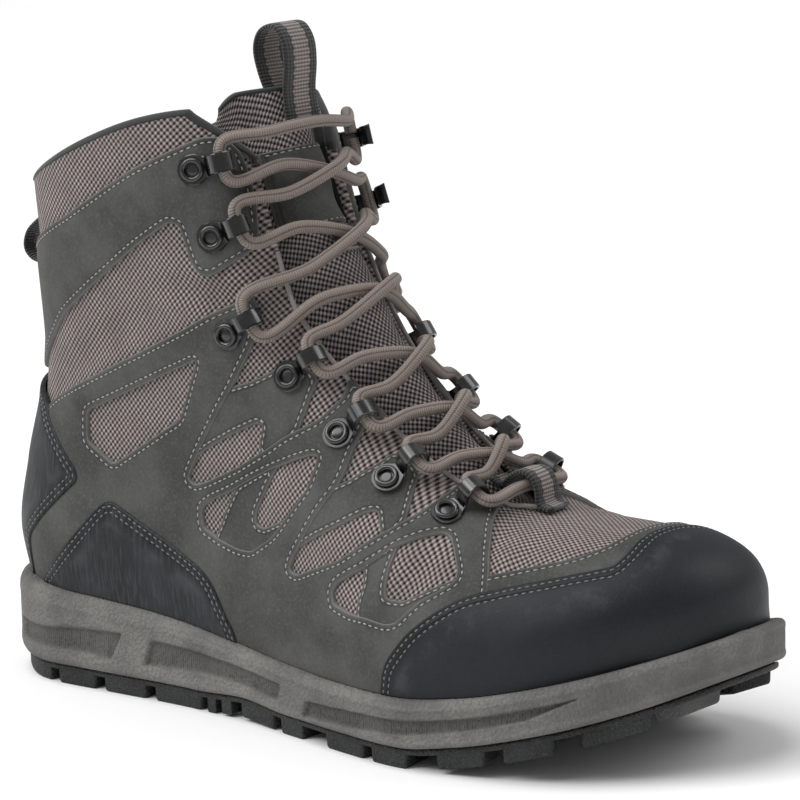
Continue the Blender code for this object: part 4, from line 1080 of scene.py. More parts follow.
def smooth_route(points, step, soften):
    """Evenly spaced smooth curve through points; soften is the rounding of its bends, in metres."""
    points = np.array(points, float)
    run = arc_lengths(points)
    slope = np.gradient(points, run, axis=0)
    fine = np.linspace(0, run[-1], max(8, int(run[-1] / step) * 3))
    i = np.clip(np.searchsorted(run, fine) - 1, 0, len(run) - 2)
    h = (run[i + 1] - run[i])[:, None]
    dense = hermite((fine - run[i])[:, None] / h, h, points[i], points[i + 1], slope[i], slope[i + 1])
    run = arc_lengths(dense)
    even = np.linspace(0, run[-1], int(run[-1] / step) + 1)
    dense = np.stack([np.interp(even, run, dense[:, n]) for n in range(3)], -1)
    reach = int(3 * soften / step)
    kernel = np.exp(-0.5 * (np.arange(-reach, reach + 1) * step / soften) ** 2)
    kernel /= kernel.sum()
    lead = dense[0] * 2 - dense[1:reach + 1][::-1]
    tail = dense[-1] * 2 - dense[-reach - 1:-1][::-1]
    padded = np.concatenate([lead, dense, tail])
    return np.stack([np.convolve(padded[:, n], kernel, "valid") for n in range(3)], -1)


def frames_along(points, outs=None):
    """Tangent, out and across direction at each point of a route."""
    tangent = np.gradient(points, axis=0)
    tangent = unit(tangent)
    if outs is None:
        outs = np.empty_like(points)
        out = np.cross(tangent[0], [0.3, 0.2, 1.0])
        for i, along_way in enumerate(tangent):
            out = out - along_way * np.dot(out, along_way)
            out = unit(out)
            outs[i] = out
    out = outs - tangent * np.sum(outs * tangent, axis=1)[:, None]
    out = unit(out)
    return tangent, out, np.cross(tangent, out)


def grid_uv(across, run):
    """UV map of a swept piece: one value across it, and centimetres along it."""
    return np.stack(np.broadcast_arrays(across[None, :], run[:, None] * 100), -1)


def tube(name, points, radius, material, sides, flat):
    """Cord along a route, closed at both ends; flat is its height as a share of its width."""
    _, out, across = frames_along(points)
    angle = np.linspace(0, 2 * math.pi, sides, endpoint=False)
    ring = (np.cos(angle)[None, :, None] * across[:, None]
            + flat * np.sin(angle)[None, :, None] * out[:, None])
    uv = grid_uv(np.linspace(0, 1, sides + 1), arc_lengths(points))
    return surface(name, points[:, None] + radius * ring, material, uv, closed=True)


def strap(name, solid, places, width, soften):
    """Flat webbing along a route in the boot's middle plane, in the place of one solid."""
    points = smooth_route(places, 0.6 * MM, soften * MM)
    tangent = np.gradient(points, axis=0)
    outs = np.stack([tangent[:, 2], np.zeros(len(points)), -tangent[:, 0]], -1)
    _, out, across = frames_along(points, outs)
    angle = np.linspace(0, 2 * math.pi, 28, endpoint=False)
    wide = np.sign(np.cos(angle)) * np.abs(np.cos(angle)) ** 0.3
    deep = np.sign(np.sin(angle)) * np.abs(np.sin(angle)) ** 0.55
    ring = (wide[None, :, None] * across[:, None] * width / 2
            + deep[None, :, None] * out[:, None] * WEBBING_THICKNESS / 2)
    uv = grid_uv(np.append(wide, wide[0]), arc_lengths(points))
    dress(surface(name, points[:, None] + ring, WEBBING, uv, closed=True), "webbing", solid)


# Webbing, cord and metal


def two_tone_webbing():
    """Woven webbing: taupe ribbed centre between black edges that wander with the weave; both tones have
    painted light and shade, paler on the raised weave and darker between.
    """
    made, add, shader = finish("two tone woven webbing", Roughness=0.82, Sheen_Weight=0.25)
    across = add("split", add("uv"))
    run = add("split", add("uv"), take=1)
    wander = add("MULTIPLY", add("SINE", add("MULTIPLY", run, waves_of(3.4))), 0.05)
    border = add("range", add("ADD", add("ABSOLUTE", across), wander), 0.44, 0.50)
    ribs = add("SINE", add("MULTIPLY", run, waves_of(WEBBING_RIBS)))
    cords = add("SINE", add("MULTIPLY", across, 2 * math.pi * 5.5))
    weave = add("ADD", add("MULTIPLY", ribs, 0.8), add("MULTIPLY", cords, 0.2))
    # Painted light and shade on the weave: paler where it is raised, darker between
    raised = add("range", weave, -0.8, 0.8)
    taupe = add("mix", raised, "4c4543", "8b817c")
    black = add("mix", raised, "0d0d0e", "242426")
    feed(shader["Base Color"], add("mix", border, taupe, black))
    feed(shader["Normal"], add("bump", weave, 0.25 * MM, 0.8))
    return made


def braided_cord():
    """Braided polyester lace: four lengthwise plaits of fine slanting ribs, with a painted highlight on the
    plaits' crowns and painted shade between the plaits and in the ribs' troughs.
    """
    made, add, shader = finish("braided polyester lace", Roughness=0.8, Sheen_Weight=0.1)
    plait = add("ABSOLUTE", add("SINE", add("MULTIPLY", add("split", add("uv")), 4 * math.pi)))
    run = add("MULTIPLY", add("split", add("uv"), take=1), waves_of(LACE_RIBS))
    ribs = add("COSINE", add("MULTIPLY_ADD", plait, 3.0, run))
    fibre = add("noise", add("place"), 2500.0, 2.0, 0.55)
    # Painted light and shade: pale on the plaits' crowns, dark between them
    tone = add("mix", add("range", plait, 0.05, 0.45), "473f3d", "83776f")
    # Painted shade in the troughs between the ribs
    tone = add("mix", add("range", ribs, 0.1, -0.9, 0.0, 0.6), tone, "524947")
    feed(shader["Base Color"], add("mix", add("range", fibre, 0.45, 0.8, 0.0, 0.3), tone, "9c918b"))
    under = add("bump", fibre, 0.1 * MM, 0.4)
    under = add("bump", ribs, 0.15 * MM, 0.6, under)
    feed(shader["Normal"], add("bump", plait, 0.4 * MM, 0.8, under))
    return made


def enamel():
    """Black enamelled steel: glossy, with faint rubbed places of some 5 mm."""
    made, add, shader = finish("black enamelled steel", Coat_Weight=0.6, Coat_Roughness=0.12)
    rubbed = add("noise", add("place"), 180.0, 4.0, 0.6)
    feed(shader["Base Color"], add("mix", add("range", rubbed, 0.45, 0.75), "040405", "0e0f10"))
    feed(shader["Roughness"], add("range", rubbed, 0.35, 0.7, 0.2, 0.38))
    feed(shader["Normal"], add("bump", rubbed, 0.05 * MM, 0.3))
    return made


WEBBING = two_tone_webbing()
CORD = braided_cord()
# Thin smooth cord that edges the mesh: pale, matt, nearly plain
PIPING = flecked("pale grey piping", "77736f", "96918d", 0.7, 0.1, 700.0, 2200.0, 0.12, 0.4)
ENAMEL = enamel()


# Tongue


TONGUE_FOOT = 0.05
TONGUE_START = 0.26
TONGUE_STOP = 1.035


def tongue_out(a, t):
    """Offset of the tongue's face, which swells outwards between the throat's edges."""
    inside = wall_at(patch(a, throat(np.minimum(a, 1.0)))[1]) + TONGUE_CLEARANCE
    swell = bump(t) * soft_step((a - THROAT[0].a) / 0.12)
    return -inside + TONGUE_SWELL * swell


def tongue_spot(a, t, out):
    """Points above the tongue's face; t is -1 and 1 at the throat's edges, 2 where it ends."""
    a, t = np.broadcast_arrays(np.asarray(a, float), np.asarray(t, float))
    overlap = TONGUE_OVERLAP / (0.42 * SHAFT_HEIGHT) * (1 - 0.5 * soft_step((a - 0.93) / 0.07))
    half = np.maximum(throat(np.minimum(a, 0.92)), TONGUE_FOOT)
    b = half * np.minimum(np.abs(t), 1.0) + overlap * np.maximum(np.abs(t) - 1.0, 0.0)
    total = tongue_out(a, t) + out
    return np.where((t < 0)[..., None], skin(a, b, -1, total), skin(a, b, 1, total))


def quilting(a, t):
    """Soft folds across the tongue between the runs of lace."""
    folds = np.zeros(np.broadcast(a, t).shape)
    for i in range(len(HOOKS) - 1):
        middle = (HOOKS[i].a + HOOKS[i + 1].a) / 2
        half = (HOOKS[i + 1].a - HOOKS[i].a) * 0.62
        lean = 0.012 * (1 if i % 2 else -1) * t
        folds = folds + 1.3 * MM * bump((a - middle - lean) / half) * bump(t / 1.25)
    return folds


def build_tongue():
    """Padded tongue: a swollen, folded face and a plain back, with a bound hem across its top."""
    edge_steps = np.array([0.0, 0.1, 0.3, 0.6, 1.0, 1.5, 2.1])
    near = edge_steps / CHORD_LENGTH
    rows = np.concatenate([TONGUE_START + near, np.linspace(TONGUE_START + 0.01, TONGUE_STOP - 0.01, 150),
                           TONGUE_STOP - near[::-1]])
    close = edge_steps / (TONGUE_OVERLAP / MM)
    shares = np.concatenate([-2 + close, np.linspace(-1.8, 1.8, 61), 2 - close[::-1]])
    a, t = np.meshgrid(rows, shares, indexing="ij")
    inset = np.minimum(np.minimum(a - TONGUE_START, TONGUE_STOP - a) * CHORD_LENGTH,
                       (2 - np.abs(t)) * TONGUE_OVERLAP / MM)
    sink = rolled_under(inset, TONGUE_THICKNESS)
    down = (TONGUE_STOP - a) * CHORD_LENGTH
    hem = 0.45 * MM * soft_step((3.0 - down) / 0.6) * soft_step(down / 0.6)
    corner = np.clip(np.abs(t) - 0.5, 0, 1.5) / 1.5
    a = a - 0.035 * corner ** 2.2 * soft_step((a - 0.92) / 0.1)
    outer = tongue_spot(a, t, -sink + quilting(a, t) + hem)
    inner = tongue_spot(a, t, -TONGUE_THICKNESS + sink - hem)
    in_hem = np.repeat((TONGUE_STOP - rows[1:]) * CHORD_LENGTH < 3.2, len(shares) - 1)
    parts = []
    for points, turned in ((outer, True), (inner, False)):
        uv = np.stack([arc_lengths(points, 1), arc_lengths(points, 0)], -1) * 100
        uv[..., 0] -= uv[:, uv.shape[1] // 2, 0][:, None]
        made = surface("tongue", points, TONGUE_CLOTH, uv, flip=turned)
        made.data.materials.append(BINDING)
        made.data.materials.append(LINING)
        picks = np.where(in_hem, 1, 0 if turned else 2)
        made.data.polygons.foreach_set("material_index", picks.astype(np.int32))
        parts.append(made)
    dress(join("padded_tongue", parts), "mesh_fabric", "tongue")


PATCH_FOOT = 0.765   # chord shares of the patch's ends
PATCH_TOP = 0.92
PATCH_WIDTH = 27.0


def build_tongue_patch():
    """Plain leather patch on the tongue, sewn across its top and foot."""
    length = (PATCH_TOP - PATCH_FOOT) * CHORD_LENGTH

    def spread(size, count):
        edge_steps = np.array([0.0, 0.06, 0.3, 0.8, 1.5, 2.0, 2.6])
        return np.concatenate([edge_steps, np.linspace(3.2, size - 3.2, count), size - edge_steps[::-1]])

    def lay(u, v, out):
        a = PATCH_FOOT + v / CHORD_LENGTH
        t = (u / PATCH_WIDTH * 2 - 1) * 0.86
        return tongue_spot(a, t, quilting(a, t) + out)

    v, u = np.meshgrid(spread(length, 40), spread(PATCH_WIDTH, 24), indexing="ij")
    inset = np.minimum(np.minimum(v, length - v), np.minimum(u, PATCH_WIDTH - u))
    out = np.interp(inset, column(LEATHER_EDGE, "inset"), column(LEATHER_EDGE, "out")) * MM
    uv = np.stack([u, v], -1) / 10
    made = surface("tongue_patch_leather", lay(u, v, out), NUBUCK, uv, flip=True)
    point_attribute(made.data, "inset", inset.ravel())
    for row in (2.2, length - 2.2):
        seam = lay(np.linspace(2.5, PATCH_WIDTH - 2.5, 60), np.full(60, row), 1.2 * MM)
        SEAMS.setdefault((0, "grey"), []).append(seam)
    dress(made, "nubuck", "tongue_patch")


build_tongue()
build_tongue_patch()


# Hooks


def hook_frame(hook, side):
    """Place of a hook's base, and its directions: towards the tip, along the edge, outwards."""
    out = 2 * GAP + PANEL_THICKNESS
    base = skin(hook.a, hook.base, side, out)
    tip = skin(hook.a, hook.tip, side, out)
    x, z = patch(hook.a, hook.base)
    outward = frame_at(np.array(x), np.array(z), side)[1]
    towards = tip - base
    towards = towards - outward * np.dot(towards, outward)
    towards = unit(towards)
    return base, towards, np.cross(outward, towards), outward


def hook_profile(closed):
    """Centre line of the bent strip: distance towards the throat, height above the panel."""
    base = HOOK_BASE
    reach = base + HOOK_TUNNEL
    low = HOOK_STRIP / 2
    high = low + HOOK_TUNNEL + HOOK_STRIP
    line = [(-0.8 * base, low), (-0.4 * base, low), (0, low), (base * 0.45, low), (base * 0.8, low * 1.1),
            (base, low + 0.3 * high), (base + 0.1 * reach, 0.8 * high), (base + HOOK_TUNNEL / 2, high),
            (reach + 0.2 * base, 0.75 * high)]
    if closed:
        return line + [(reach + 0.38 * base, 0.42 * high), (reach + 0.34 * base, low + GAP)]
    return line + [(reach + 0.5 * base, 0.82 * high), (reach + 0.70 * base, 1.05 * high)]


PLATE_RADIUS = 5.4 * MM


def build_hook(name, solid, hook, side):
    """Bent strip that grows out of a round plate; returns the place and direction of its rivet."""
    base, towards, edgewise, outward = hook_frame(hook, side)
    path = smooth_route([(u, 0.0, h) for u, h in hook_profile(hook.closed)], 0.35 * MM, 0.6 * MM)
    u = path[:, 0]
    run = arc_lengths(path)
    disc = np.sqrt(np.clip(PLATE_RADIUS ** 2 - np.minimum(u, 0) ** 2, 1e-8, None))
    strap_half = (2.9 if hook.closed else 3.4) * MM
    neck = soft_step((u - 0.15 * HOOK_BASE) / (0.85 * HOOK_BASE))
    half = disc * (1 - neck) + strap_half * neck
    if not hook.closed:
        half = half + 0.3 * MM * soft_step((run - run[-1] + 2 * MM) / (2 * MM))
    tangent = np.gradient(path, axis=0)
    tangent = unit(tangent)
    up = np.stack([-tangent[:, 2], np.zeros(len(path)), tangent[:, 0]], -1)
    t = HOOK_STRIP / 2
    b = 0.35 * MM
    section = [(-1, 0, -t + b), (-1, b, -t), (1, -b, -t), (1, 0, -t + b), (1, 0, t - b), (1, -b, t),
               (-1, b, t), (-1, 0, t - b)]
    ring = [np.stack([path[:, 0] + up[:, 0] * lift, sign * np.maximum(half - abs(shift), 0.05 * MM),
                      path[:, 2] + up[:, 2] * lift], -1) for sign, shift, lift in section]
    points = base + np.stack(ring, 1) @ np.stack([towards, edgewise, outward])
    dress(face_out(surface(name, points, ENAMEL, closed=True, sharp=35)), "hook_metal", solid)
    return base + outward * HOOK_STRIP, outward


def rivet_tree():
    """Geometry Nodes: a hollow rivet with a rolled lip, a sunk cap and a foot, on every point."""
    sizes = {"Ring": 3.35 * MM, "Lip": 0.95 * MM, "Cap": 2.1 * MM, "Foot": 4.5 * MM}
    tree, add, given = new_tree("rivets", "Places", sizes, "Metal")
    lip = add("swept", add("circle", 36, given["Ring"]), add("circle", 14, given["Lip"]))
    rolled = add("moved", lip, (0, 0, 0.5 * MM))
    sunk = add("moved", add("ball", 24, 12, given["Cap"]), (0, 0, 0), (1, 1, 0.12))
    foot = add("moved", add("drum", 36, given["Foot"], 1.8 * MM), (0, 0, -1.7 * MM))
    turn = add("aligned", add("named", "outward"), axis="Z")
    rivets = add("instances", given["Places"], add("joined", rolled, sunk, foot), turn)
    return close_tree(tree, add, rivets, given["Metal"])


def build_hooks():
    tops = []
    for side, word in SIDES:
        for number, hook in enumerate(HOOKS, 1):
            tops.append(build_hook(f"lace_hook_{word}_{number}", f"hook_{word}_{number}", hook, side))
    mesh = bpy.data.meshes.new("tops")
    mesh.from_pydata([tuple(top) for top, _ in tops], [], [])
    directions = np.array([outward for _, outward in tops], np.float32)
    mesh.attributes.new("outward", "FLOAT_VECTOR", "POINT").data.foreach_set("vector", directions.ravel())
    dress(grown("hook_rivets", link("tops", mesh), rivet_tree(), Metal=ENAMEL), "hook_metal")


build_hooks()


# Lace


def tunnel(hook, side, share):
    """Point in the tunnel under a hook's strip; share runs along the throat's edge."""
    base, towards, edgewise, outward = hook_frame(hook, side)
    if edgewise[2] < 0:
        edgewise = -edgewise
    middle = base + towards * (HOOK_BASE + 0.78 * HOOK_TUNNEL) + outward * (0.52 * HOOK_TUNNEL)
    return middle + edgewise * share * HOOK_WIDTH


def over_throat(a, t, lift):
    """Middle of the lace over the throat: t is -1 at its lateral edge and 1 at its medial edge."""
    clear = np.maximum(tongue_out(np.array(a), np.array(t)), 0.0) + LACE_DIAMETER / 2 + lift
    return skin(a, abs(t) * throat(np.array(a)), -1 if t < 0 else 1, clear)


def half_lace(first):
    """One half of the lace, from beside the lowest bar's middle up through every hook."""
    side = first
    bar = HOOKS[0].a - BAR_DROP
    points = [over_throat(bar, 0.08 * side, LACE_LIFT), over_throat(bar, LACE_REACH * side, LACE_LIFT)]
    for i, hook in enumerate(HOOKS):
        points += [tunnel(hook, side, share) for share in (-0.75, 0.0, 0.75)]
        if i + 1 == len(HOOKS):
            break
        above = HOOKS[i + 1]
        span = above.a - hook.a
        lift = WEBBING_THICKNESS + 2 * LACE_GAP
        if (i % 2 == 0) == (first < 0):
            lift += LACE_DIAMETER + LACE_GAP
        points += [over_throat(hook.a + 0.25 * span, LACE_REACH * side, LACE_LIFT),
                   over_throat(hook.a + 0.50 * span, 0.0, lift),
                   over_throat(hook.a + 0.75 * span, -LACE_REACH * side, LACE_LIFT)]
        side = -side
    return points


def build_lace():
    """One lace through every hook; its ends meet out of sight in the medial top hook."""
    top = HOOKS[-1]
    lift = LACE_LIFT + WEBBING_THICKNESS
    last = [tunnel(top, 1, 0.25), tunnel(top, 1, 1.1), over_throat(top.a + 0.030, LACE_REACH, lift),
            over_throat(top.a + 0.040, 0.0, lift), over_throat(top.a + 0.034, -LACE_REACH, lift)]
    route = smooth_route(last + half_lace(-1)[::-1] + half_lace(1)[:-1], 0.7 * MM, 2.2 * MM)
    dress(tube("braided_lace", route, LACE_DIAMETER / 2 * 0.94, CORD, 20, 0.94), "lace_cord", "lace")


def cord_tree():
    """Geometry Nodes: a round cord along a path."""
    tree, add, given = new_tree("cord", "Path", {"Radius": 0.85 * MM}, "Cloth")
    cord = add("swept", given["Path"], add("circle", 12, given["Radius"]), True)
    return close_tree(tree, add, cord, given["Cloth"])


def build_piping():
    """Thin cord along the throat's edge, from one ankle round the vamp to the other."""
    rows = np.concatenate([np.linspace(0.745, 0.35, 60), np.linspace(0.345, THROAT[0].a, 16)])
    half = throat(rows) + 0.008
    half[-1] = 0.004
    lateral = skin(rows, half, -1, 0.7 * MM, 1.0)
    medial = skin(rows, half, 1, 0.7 * MM, 1.0)[::-1]
    route = smooth_route(np.concatenate([lateral, medial[1:]]), 0.8 * MM, 1.0 * MM)
    dress(grown("throat_piping", curve_of("path", [route]), cord_tree(), Cloth=PIPING), "webbing")


build_lace()
build_piping()


# Pull loops and lace keepers


def behind(share):
    """Middle of a strap that lies on the overlay at the back."""
    x, z = BACK.at(share)
    return np.array([x - (2 * GAP + PANEL_THICKNESS + WEBBING_THICKNESS / 2), centre(x), z])


def over_middle(a, out):
    """Point above the middle of the tongue, or of the vamp in front of it."""
    return skin(a, 0.0, 1, np.maximum(tongue_out(np.array(a), np.array(0.0)), 0.0) + out)


def build_webbing():
    """Pull loops of the tongue and the heel, and the lace's keepers on the tongue and the vamp."""
    bend = 0.5 * WEBBING_WIDTH
    foot = tongue_spot(1.01, 0.0, 2 * GAP + WEBBING_THICKNESS / 2)
    up = tongue_spot(1.03, 0.0, 0.0) - tongue_spot(0.97, 0.0, 0.0)
    up = unit(up)
    ahead = np.array([up[2], 0.0, -up[0]])
    loop = [(-0.9, 0.0), (0.2, 0.12), (1.3, 0.5), (2.3, 0.6), (2.95, 0.25), (2.9, -0.5), (2.3, -0.95),
            (1.5, -1.0), (0.75, -0.9), (0.1, -0.75), (-0.5, -0.7)]
    places = [foot + (up * u + ahead * w) * bend for u, w in loop]
    strap("tongue_loop_webbing", "tongue_pull_loop", places, WEBBING_WIDTH, 1.5)
    top, bottom = behind(0.93), behind(0.80)
    out = np.array([-1.0, 0.0, 0.0])
    loop = [(-0.10, 0.0), (0.12, 0.0), (0.35, 0.70), (0.65, 1.45), (0.95, 1.60), (1.14, 1.15), (1.12, 0.40),
            (0.97, 0.0), (0.80, 0.0)]
    places = [top + (bottom - top) * u + out * w * bend for u, w in loop]
    strap("heel_loop_webbing", "heel_pull_loop", places, WEBBING_WIDTH, 1.2)
    lift = 2 * GAP + WEBBING_THICKNESS / 2
    places = [tongue_spot(a, 0.0, lift + quilting(a, 0.0)) for a in np.linspace(0.705, 0.755, 6)]
    strap("middle_keeper_webbing", "lace_keeper", places, KEEPER_WIDTH, 0.6)
    over = LACE_LIFT + LACE_DIAMETER + LACE_GAP
    arch = [(2.0, 0.0), (1.4, 0.0), (0.8, 0.75), (0.25, 1.0), (-0.3, 1.0), (-0.75, 0.75), (-1.3, 0.0),
            (-1.9, 0.0)]
    bar = HOOKS[0].a - BAR_DROP
    places = [over_middle(bar + BAR_DROP * u, lift + over * h) for u, h in arch]
    strap("vamp_keeper_webbing", "vamp_keeper", places, KEEPER_WIDTH, 1.0)


build_webbing()


# Sole


def rubber(name, dark, pale, pebble, gloss=0.6, ribs=False):
    """Moulded rubber or foam: matt skin with pebbles, so many in a metre, and a grit of 0.7 mm.

    With ribs it has fine upright lines inside the windows, painted shade in those sunk windows, and a painted
    highlight on its raised rails.
    """
    made, add, shader = finish(name, Roughness=gloss, Specular_IOR_Level=0.35)
    where = add("place")
    cloud = add("noise", where, 35.0, 5.0, 0.6)
    grit = add("noise", where, 1400.0, 3.0, 0.55)
    pebbles = add("cells", where, pebble, 1.0)
    tone = add("mix", add("range", cloud, 0.35, 0.7), dark, pale)
    under = add("bump", add("ADD", pebbles, grit), 0.55 * MM, 0.9)
    if ribs:
        deep = add("attribute", attribute_name="window")
        # Painted shade in the sunk windows
        tone = add("mix", add("MULTIPLY", deep, 0.45), tone, "33322f")
        # Painted highlight on the raised rails
        crease_wear_and_rail_highlight = add("attribute", attribute_name="rail")
        tone = add("mix", add("MULTIPLY", crease_wear_and_rail_highlight, 0.35), tone, "7a7875")
        lines = add("SINE", add("MULTIPLY", add("split", add("uv")), waves_of(SOLE_RIBS)))
        under = add("bump", add("MULTIPLY", lines, deep), 0.3 * MM, 0.6, under)
    tone = add("mix", add("range", grit, 0.5, 0.8, 0.0, 0.25), tone, "7d7b78")
    feed(shader["Base Color"], add("mix", add("range", pebbles, 0.35, 0.8, 0.0, 0.45), tone, dark))
    feed(shader["Normal"], under)
    return made


MIDSOLE_RUBBER = rubber("grey moulded sidewall", "595755", "777571", 800.0, 0.75, ribs=True)
BLACK_RUBBER = rubber("black tread rubber", "1b1c1d", "303132", 1100.0)
GREY_RUBBER = rubber("grey tread rubber", "444444", "5c5c5b", 1100.0)

SOLE_WINDOWS = [  # share of the sole's length, share of the sidewall's height
    [(0.050, 0.46), (0.105, 0.48), (0.169, 0.57), (0.233, 0.62), (0.212, 0.17), (0.167, 0.22), (0.105, 0.20),
     (0.050, 0.18)],
    [(0.274, 0.62), (0.349, 0.65), (0.426, 0.62), (0.492, 0.62), (0.484, 0.23), (0.359, 0.30), (0.262, 0.20)],
    [(0.536, 0.48), (0.634, 0.57), (0.718, 0.60), (0.813, 0.62), (0.892, 0.63), (0.836, 0.36), (0.718, 0.30),
     (0.631, 0.21), (0.526, 0.08)],
]
WALL_PROFILE = [  # height share of the sidewall, millimetres of inset
    (0.0, 1.3), (0.015, 0.6), (0.05, 0.05), (0.10, -0.25), (0.16, -0.2), (0.22, 0.0), (0.5, 0.0), (0.72, 0.0),
    (0.80, -0.15), (0.87, 0.05), (0.92, 0.5), (0.96, 1.1), (0.985, 1.9), (1.0, 3.2),
]


def rounded_end(t):
    t = np.clip(t, 0, 1)
    return (1 - (1 - t) ** 2.1) ** (1 / 2.1)


OUTLINE_STEP = 0.9 * MM


def sole_outline():
    """Even points round the sole, with the way in from each and the length up to it."""
    s = (1 - np.cos(np.linspace(0, 1, 1500) * math.pi)) / 2
    x = s * SOLE_LENGTH - HEEL_SETBACK
    ends = rounded_end(s * SOLE_LENGTH / HEEL_ROUND) * rounded_end((1 - s) * SOLE_LENGTH / TOE_ROUND)
    loops = [centre(x) + side * read(SOLE_PLAN, word, s) * BALL_WIDTH / 2 * ends for side, word in SIDES]
    loop = np.concatenate([np.stack([x, loops[0]], -1), np.stack([x, loops[1]], -1)[-2:0:-1]])
    closed = np.concatenate([loop, loop[:1]])
    run = arc_lengths(closed)
    even = np.linspace(0, run[-1], int(run[-1] / OUTLINE_STEP), endpoint=False)
    points = np.stack([np.interp(even, run, closed[:, n]) for n in range(2)], -1)
    ahead = np.roll(points, -2, 0) - np.roll(points, 2, 0)
    ahead = unit(ahead)
    return points, np.stack([-ahead[:, 1], ahead[:, 0]], -1), even


EDGE_POINTS, EDGE_IN, EDGE_RUN = sole_outline()


def sole_ring(inset):
    return EDGE_POINTS + EDGE_IN * np.asarray(inset).reshape(-1, 1)


SIDEWALL = 22.0   # millimetres that one whole height share of the windows stands for


def build_midsole():
    """Sidewall with its raised rails and sunk windows, from the tread up to the upper's edge."""
    levels = np.unique(np.concatenate([np.linspace(0, 1, 34), [row[0] for row in WALL_PROFILE]]))
    base = np.interp(levels, *np.array(WALL_PROFILE).T)
    s, l = np.meshgrid(along(EDGE_POINTS[:, 0]) * SOLE_LENGTH / MM, levels * SIDEWALL)
    depth = np.full(s.shape, -9.0)
    for window in SOLE_WINDOWS:
        corners = [(u * SOLE_LENGTH / MM, v * SIDEWALL) for u, v in window]
        depth = np.maximum(depth, distance_inside(rounded(corners, 1.6), s, l)[0])
    sunk = soft_step(depth / 0.9)
    rows = []
    for i, level in enumerate(levels):
        xy = sole_ring((base[i] + 1.7 * sunk[i]) * MM)
        low = ground(xy[:, 0]) + TREAD_DEPTH + PLATE_THICKNESS + GAP
        rows.append(np.column_stack([xy, low + (edge(xy[:, 0]) - low) * level]))
    points = np.array(rows)
    run = np.append(EDGE_RUN, 2 * EDGE_RUN[-1] - EDGE_RUN[-2]) * 100
    uv = np.stack(np.broadcast_arrays(run[None, :], levels[:, None] * SIDEWALL / 10), -1)
    made = surface("moulded_sidewall", points, MIDSOLE_RUBBER, uv, closed=True, flip=True)
    point_attribute(made.data, "window", sunk.ravel())
    rail = bump((levels - 0.12) / 0.10) + bump((levels - 0.83) / 0.07)
    point_attribute(made.data, "rail", np.repeat(np.clip(rail, 0, 1), points.shape[1]))
    dress(face_out(made), "sole_foam", "midsole")


# Along the edge, and how far each reaches in as a share of half of BALL_WIDTH
EDGE_LUGS = rows_of("start stop depth", [
    (0.030, 0.109, 0.30), (0.119, 0.182, 0.26), (0.192, 0.260, 0.26), (0.268, 0.346, 0.26),
    (0.354, 0.371, 0.20), (0.377, 0.395, 0.20), (0.408, 0.469, 0.24), (0.478, 0.519, 0.28),
    (0.556, 0.624, 0.32), (0.634, 0.691, 0.34), (0.726, 0.789, 0.34), (0.804, 0.863, 0.32),
    (0.885, 0.947, 0.28),
])
CENTRE_LUGS = rows_of("start stop depth", [  # rows of lugs across the middle
    (0.110, 0.210, 0.30), (0.230, 0.290, 0.30), (0.460, 0.500, 0.34), (0.530, 0.575, 0.42),
    (0.585, 0.640, 0.42), (0.665, 0.715, 0.46), (0.740, 0.790, 0.46), (0.815, 0.865, 0.40),
    (0.890, 0.935, 0.26),
])


def above_ground(xy, height):
    """Ring of points at one height over the ground line."""
    return np.column_stack([xy, ground(xy[:, 0]) + height])


def lug_block(outline, material):
    """Bevelled block from inside the plate down to the ground, slightly narrower below."""
    shape = rounded(np.array(outline) / MM, 1.4) * MM
    middle = shape.mean(axis=0)
    drops = ((0.0, TREAD_DEPTH + PLATE_THICKNESS / 2), (0.03, 0.9 * MM), (0.06, 0.35 * MM), (0.10, 0.0))
    points = np.array([above_ground(shape + (middle - shape) * share, drop) for share, drop in drops])
    return face_out(surface("lug", points, material, closed=True, sharp=40))


def edge_part(start, stop, side, inset):
    """Points along one side of the sole between two shares of its length."""
    share = along(EDGE_POINTS[:, 0])
    pick = (share >= start) & (share <= stop) & ((EDGE_POINTS[:, 1] - centre(EDGE_POINTS[:, 0])) * side > 0)
    ring = sole_ring(inset)[pick]
    ring = ring[np.argsort(ring[:, 0])]
    return ring[np.linspace(0, len(ring) - 1, 6).astype(int)]


def build_outsole():
    """Tread plate with its lugs, and the grey lugs across its middle."""
    profile = ((3.4, 0.0), (2.6, 0.25), (2.3, 0.8), (2.3, 1.7), (2.6, 2.3), (3.4, 2.5))
    rings = [above_ground(sole_ring(inset * MM), TREAD_DEPTH + rise * MM) for inset, rise in profile]
    parts = [face_out(surface("plate", np.array(rings), BLACK_RUBBER, closed=True))]
    for side, _ in SIDES:
        for lug in EDGE_LUGS:
            outer = edge_part(lug.start, lug.stop, side, PLATE_INSET)
            inner = edge_part(lug.start + 0.006, lug.stop - 0.006, side, lug.depth * BALL_WIDTH / 2)
            parts.append(lug_block(np.concatenate([outer, inner[[-1, 0]]]), BLACK_RUBBER))
    dress(join("tread", parts), "tread_rubber", "outsole")
    parts = []
    for lug in CENTRE_LUGS:
        reach = lug.depth * BALL_WIDTH / 2
        x0, x1 = (share * SOLE_LENGTH - HEEL_SETBACK for share in (lug.start, lug.stop))
        point = 0.3 * (x1 - x0)
        middle = centre((x0 + x1) / 2)
        shape = [(x0, -0.5), (x0 + point, -1.0), (x1, -0.7), (x1, 0.7), (x0 + point, 1.0), (x0, 0.5)]
        parts.append(lug_block([(x, middle + share * reach) for x, share in shape], GREY_RUBBER))
    dress(join("tread_middle", parts), "tread_rubber")


build_midsole()
build_outsole()
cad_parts["insole"].data.materials.clear()
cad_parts["insole"].data.materials.append(LINING)


build_stitches()


# Camera, light and floor


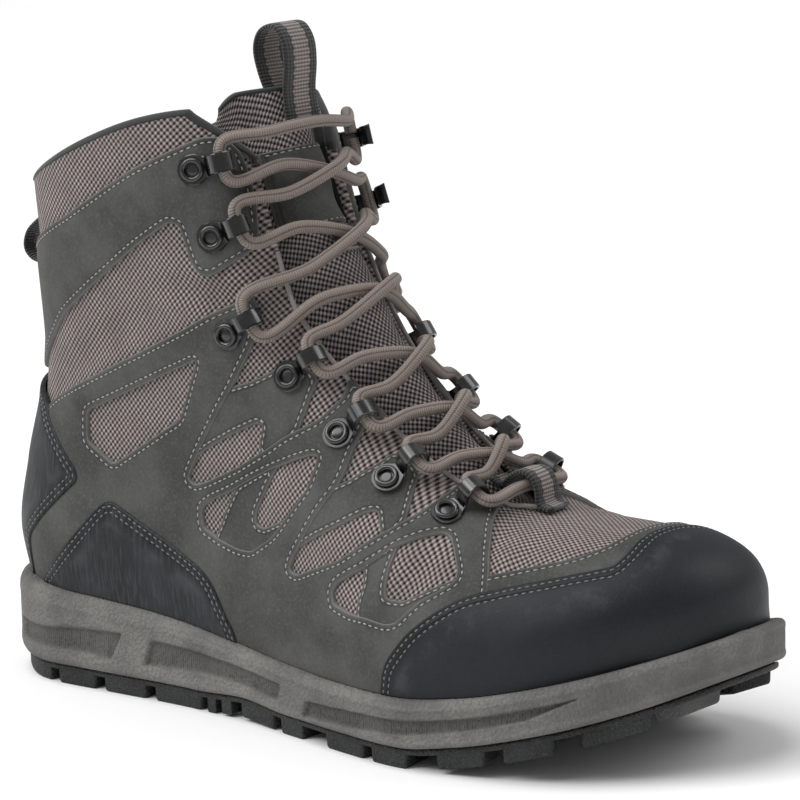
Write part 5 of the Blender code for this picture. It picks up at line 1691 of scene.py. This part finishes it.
CAMERA_TURN = 39.91   # degrees from the boot's side view towards its toe
CAMERA_RISE = 11.52
CAMERA_ROLL = -1.53
CAMERA_DISTANCE = 1.439
BOOT_MIDDLE = Vector((0.105, 0.0, 0.100))
LAMPS = rows_of("name kind place size power", [
    ("over", "SUN", (-0.5, -0.9, 2.2), 1.0, 2.3),
    ("key", "AREA", (-1.0, -1.5, 1.3), 0.9, 13),
    ("back", "AREA", (1.2, 1.2, 1.5), 1.2, 12),
])


def build_camera():
    turn, rise, roll = (math.radians(angle) for angle in (CAMERA_TURN, CAMERA_RISE, CAMERA_ROLL))
    back = Vector((math.sin(turn) * math.cos(rise), -math.cos(turn) * math.cos(rise), math.sin(rise)))
    right = Vector((math.cos(turn), math.sin(turn), 0.0))
    up = back.cross(right)
    rolled_right = right * math.cos(roll) + up * math.sin(roll)
    rolled_up = up * math.cos(roll) - right * math.sin(roll)
    lens = bpy.data.cameras.new("camera")
    lens.lens = 185.2
    lens.sensor_width = 36
    lens.shift_x = 0.0422
    lens.shift_y = 0.0379
    camera = link("camera", lens)
    axes = Matrix((rolled_right, rolled_up, back)).transposed().to_4x4()
    camera.matrix_world = Matrix.Translation(BOOT_MIDDLE + back * CAMERA_DISTANCE) @ axes
    bpy.context.scene.camera = camera


def build_stage():
    """White studio: floor, even surroundings and three lamps."""
    net = bmesh.new()
    bmesh.ops.create_grid(net, x_segments=2, y_segments=2, size=4)
    mesh = bpy.data.meshes.new("floor")
    net.to_mesh(mesh)
    net.free()
    pale = finish("pale matt floor", Roughness=0.9, Base_Color="f4f4f4")[0]
    floor = link("floor", mesh, pale)
    world = bpy.data.worlds.new("studio")
    world.use_nodes = True
    light = world.node_tree.nodes["Background"].inputs
    light["Color"].default_value = (1, 1, 1, 1)
    light["Strength"].default_value = 0.42
    bpy.context.scene.world = world
    for lamp in LAMPS:
        made = bpy.data.lights.new(lamp.name, lamp.kind)
        setattr(made, "angle" if lamp.kind == "SUN" else "size", lamp.size)
        made.energy = lamp.power
        way = Vector((0.1, 0, 0.1)) - Vector(lamp.place)
        turn = way.to_track_quat("-Z", "Y").to_matrix().to_4x4()
        link(lamp.name, made).matrix_world = Matrix.Translation(lamp.place) @ turn
    bpy.context.scene.view_settings.view_transform = "Standard"


build_camera()
build_stage()
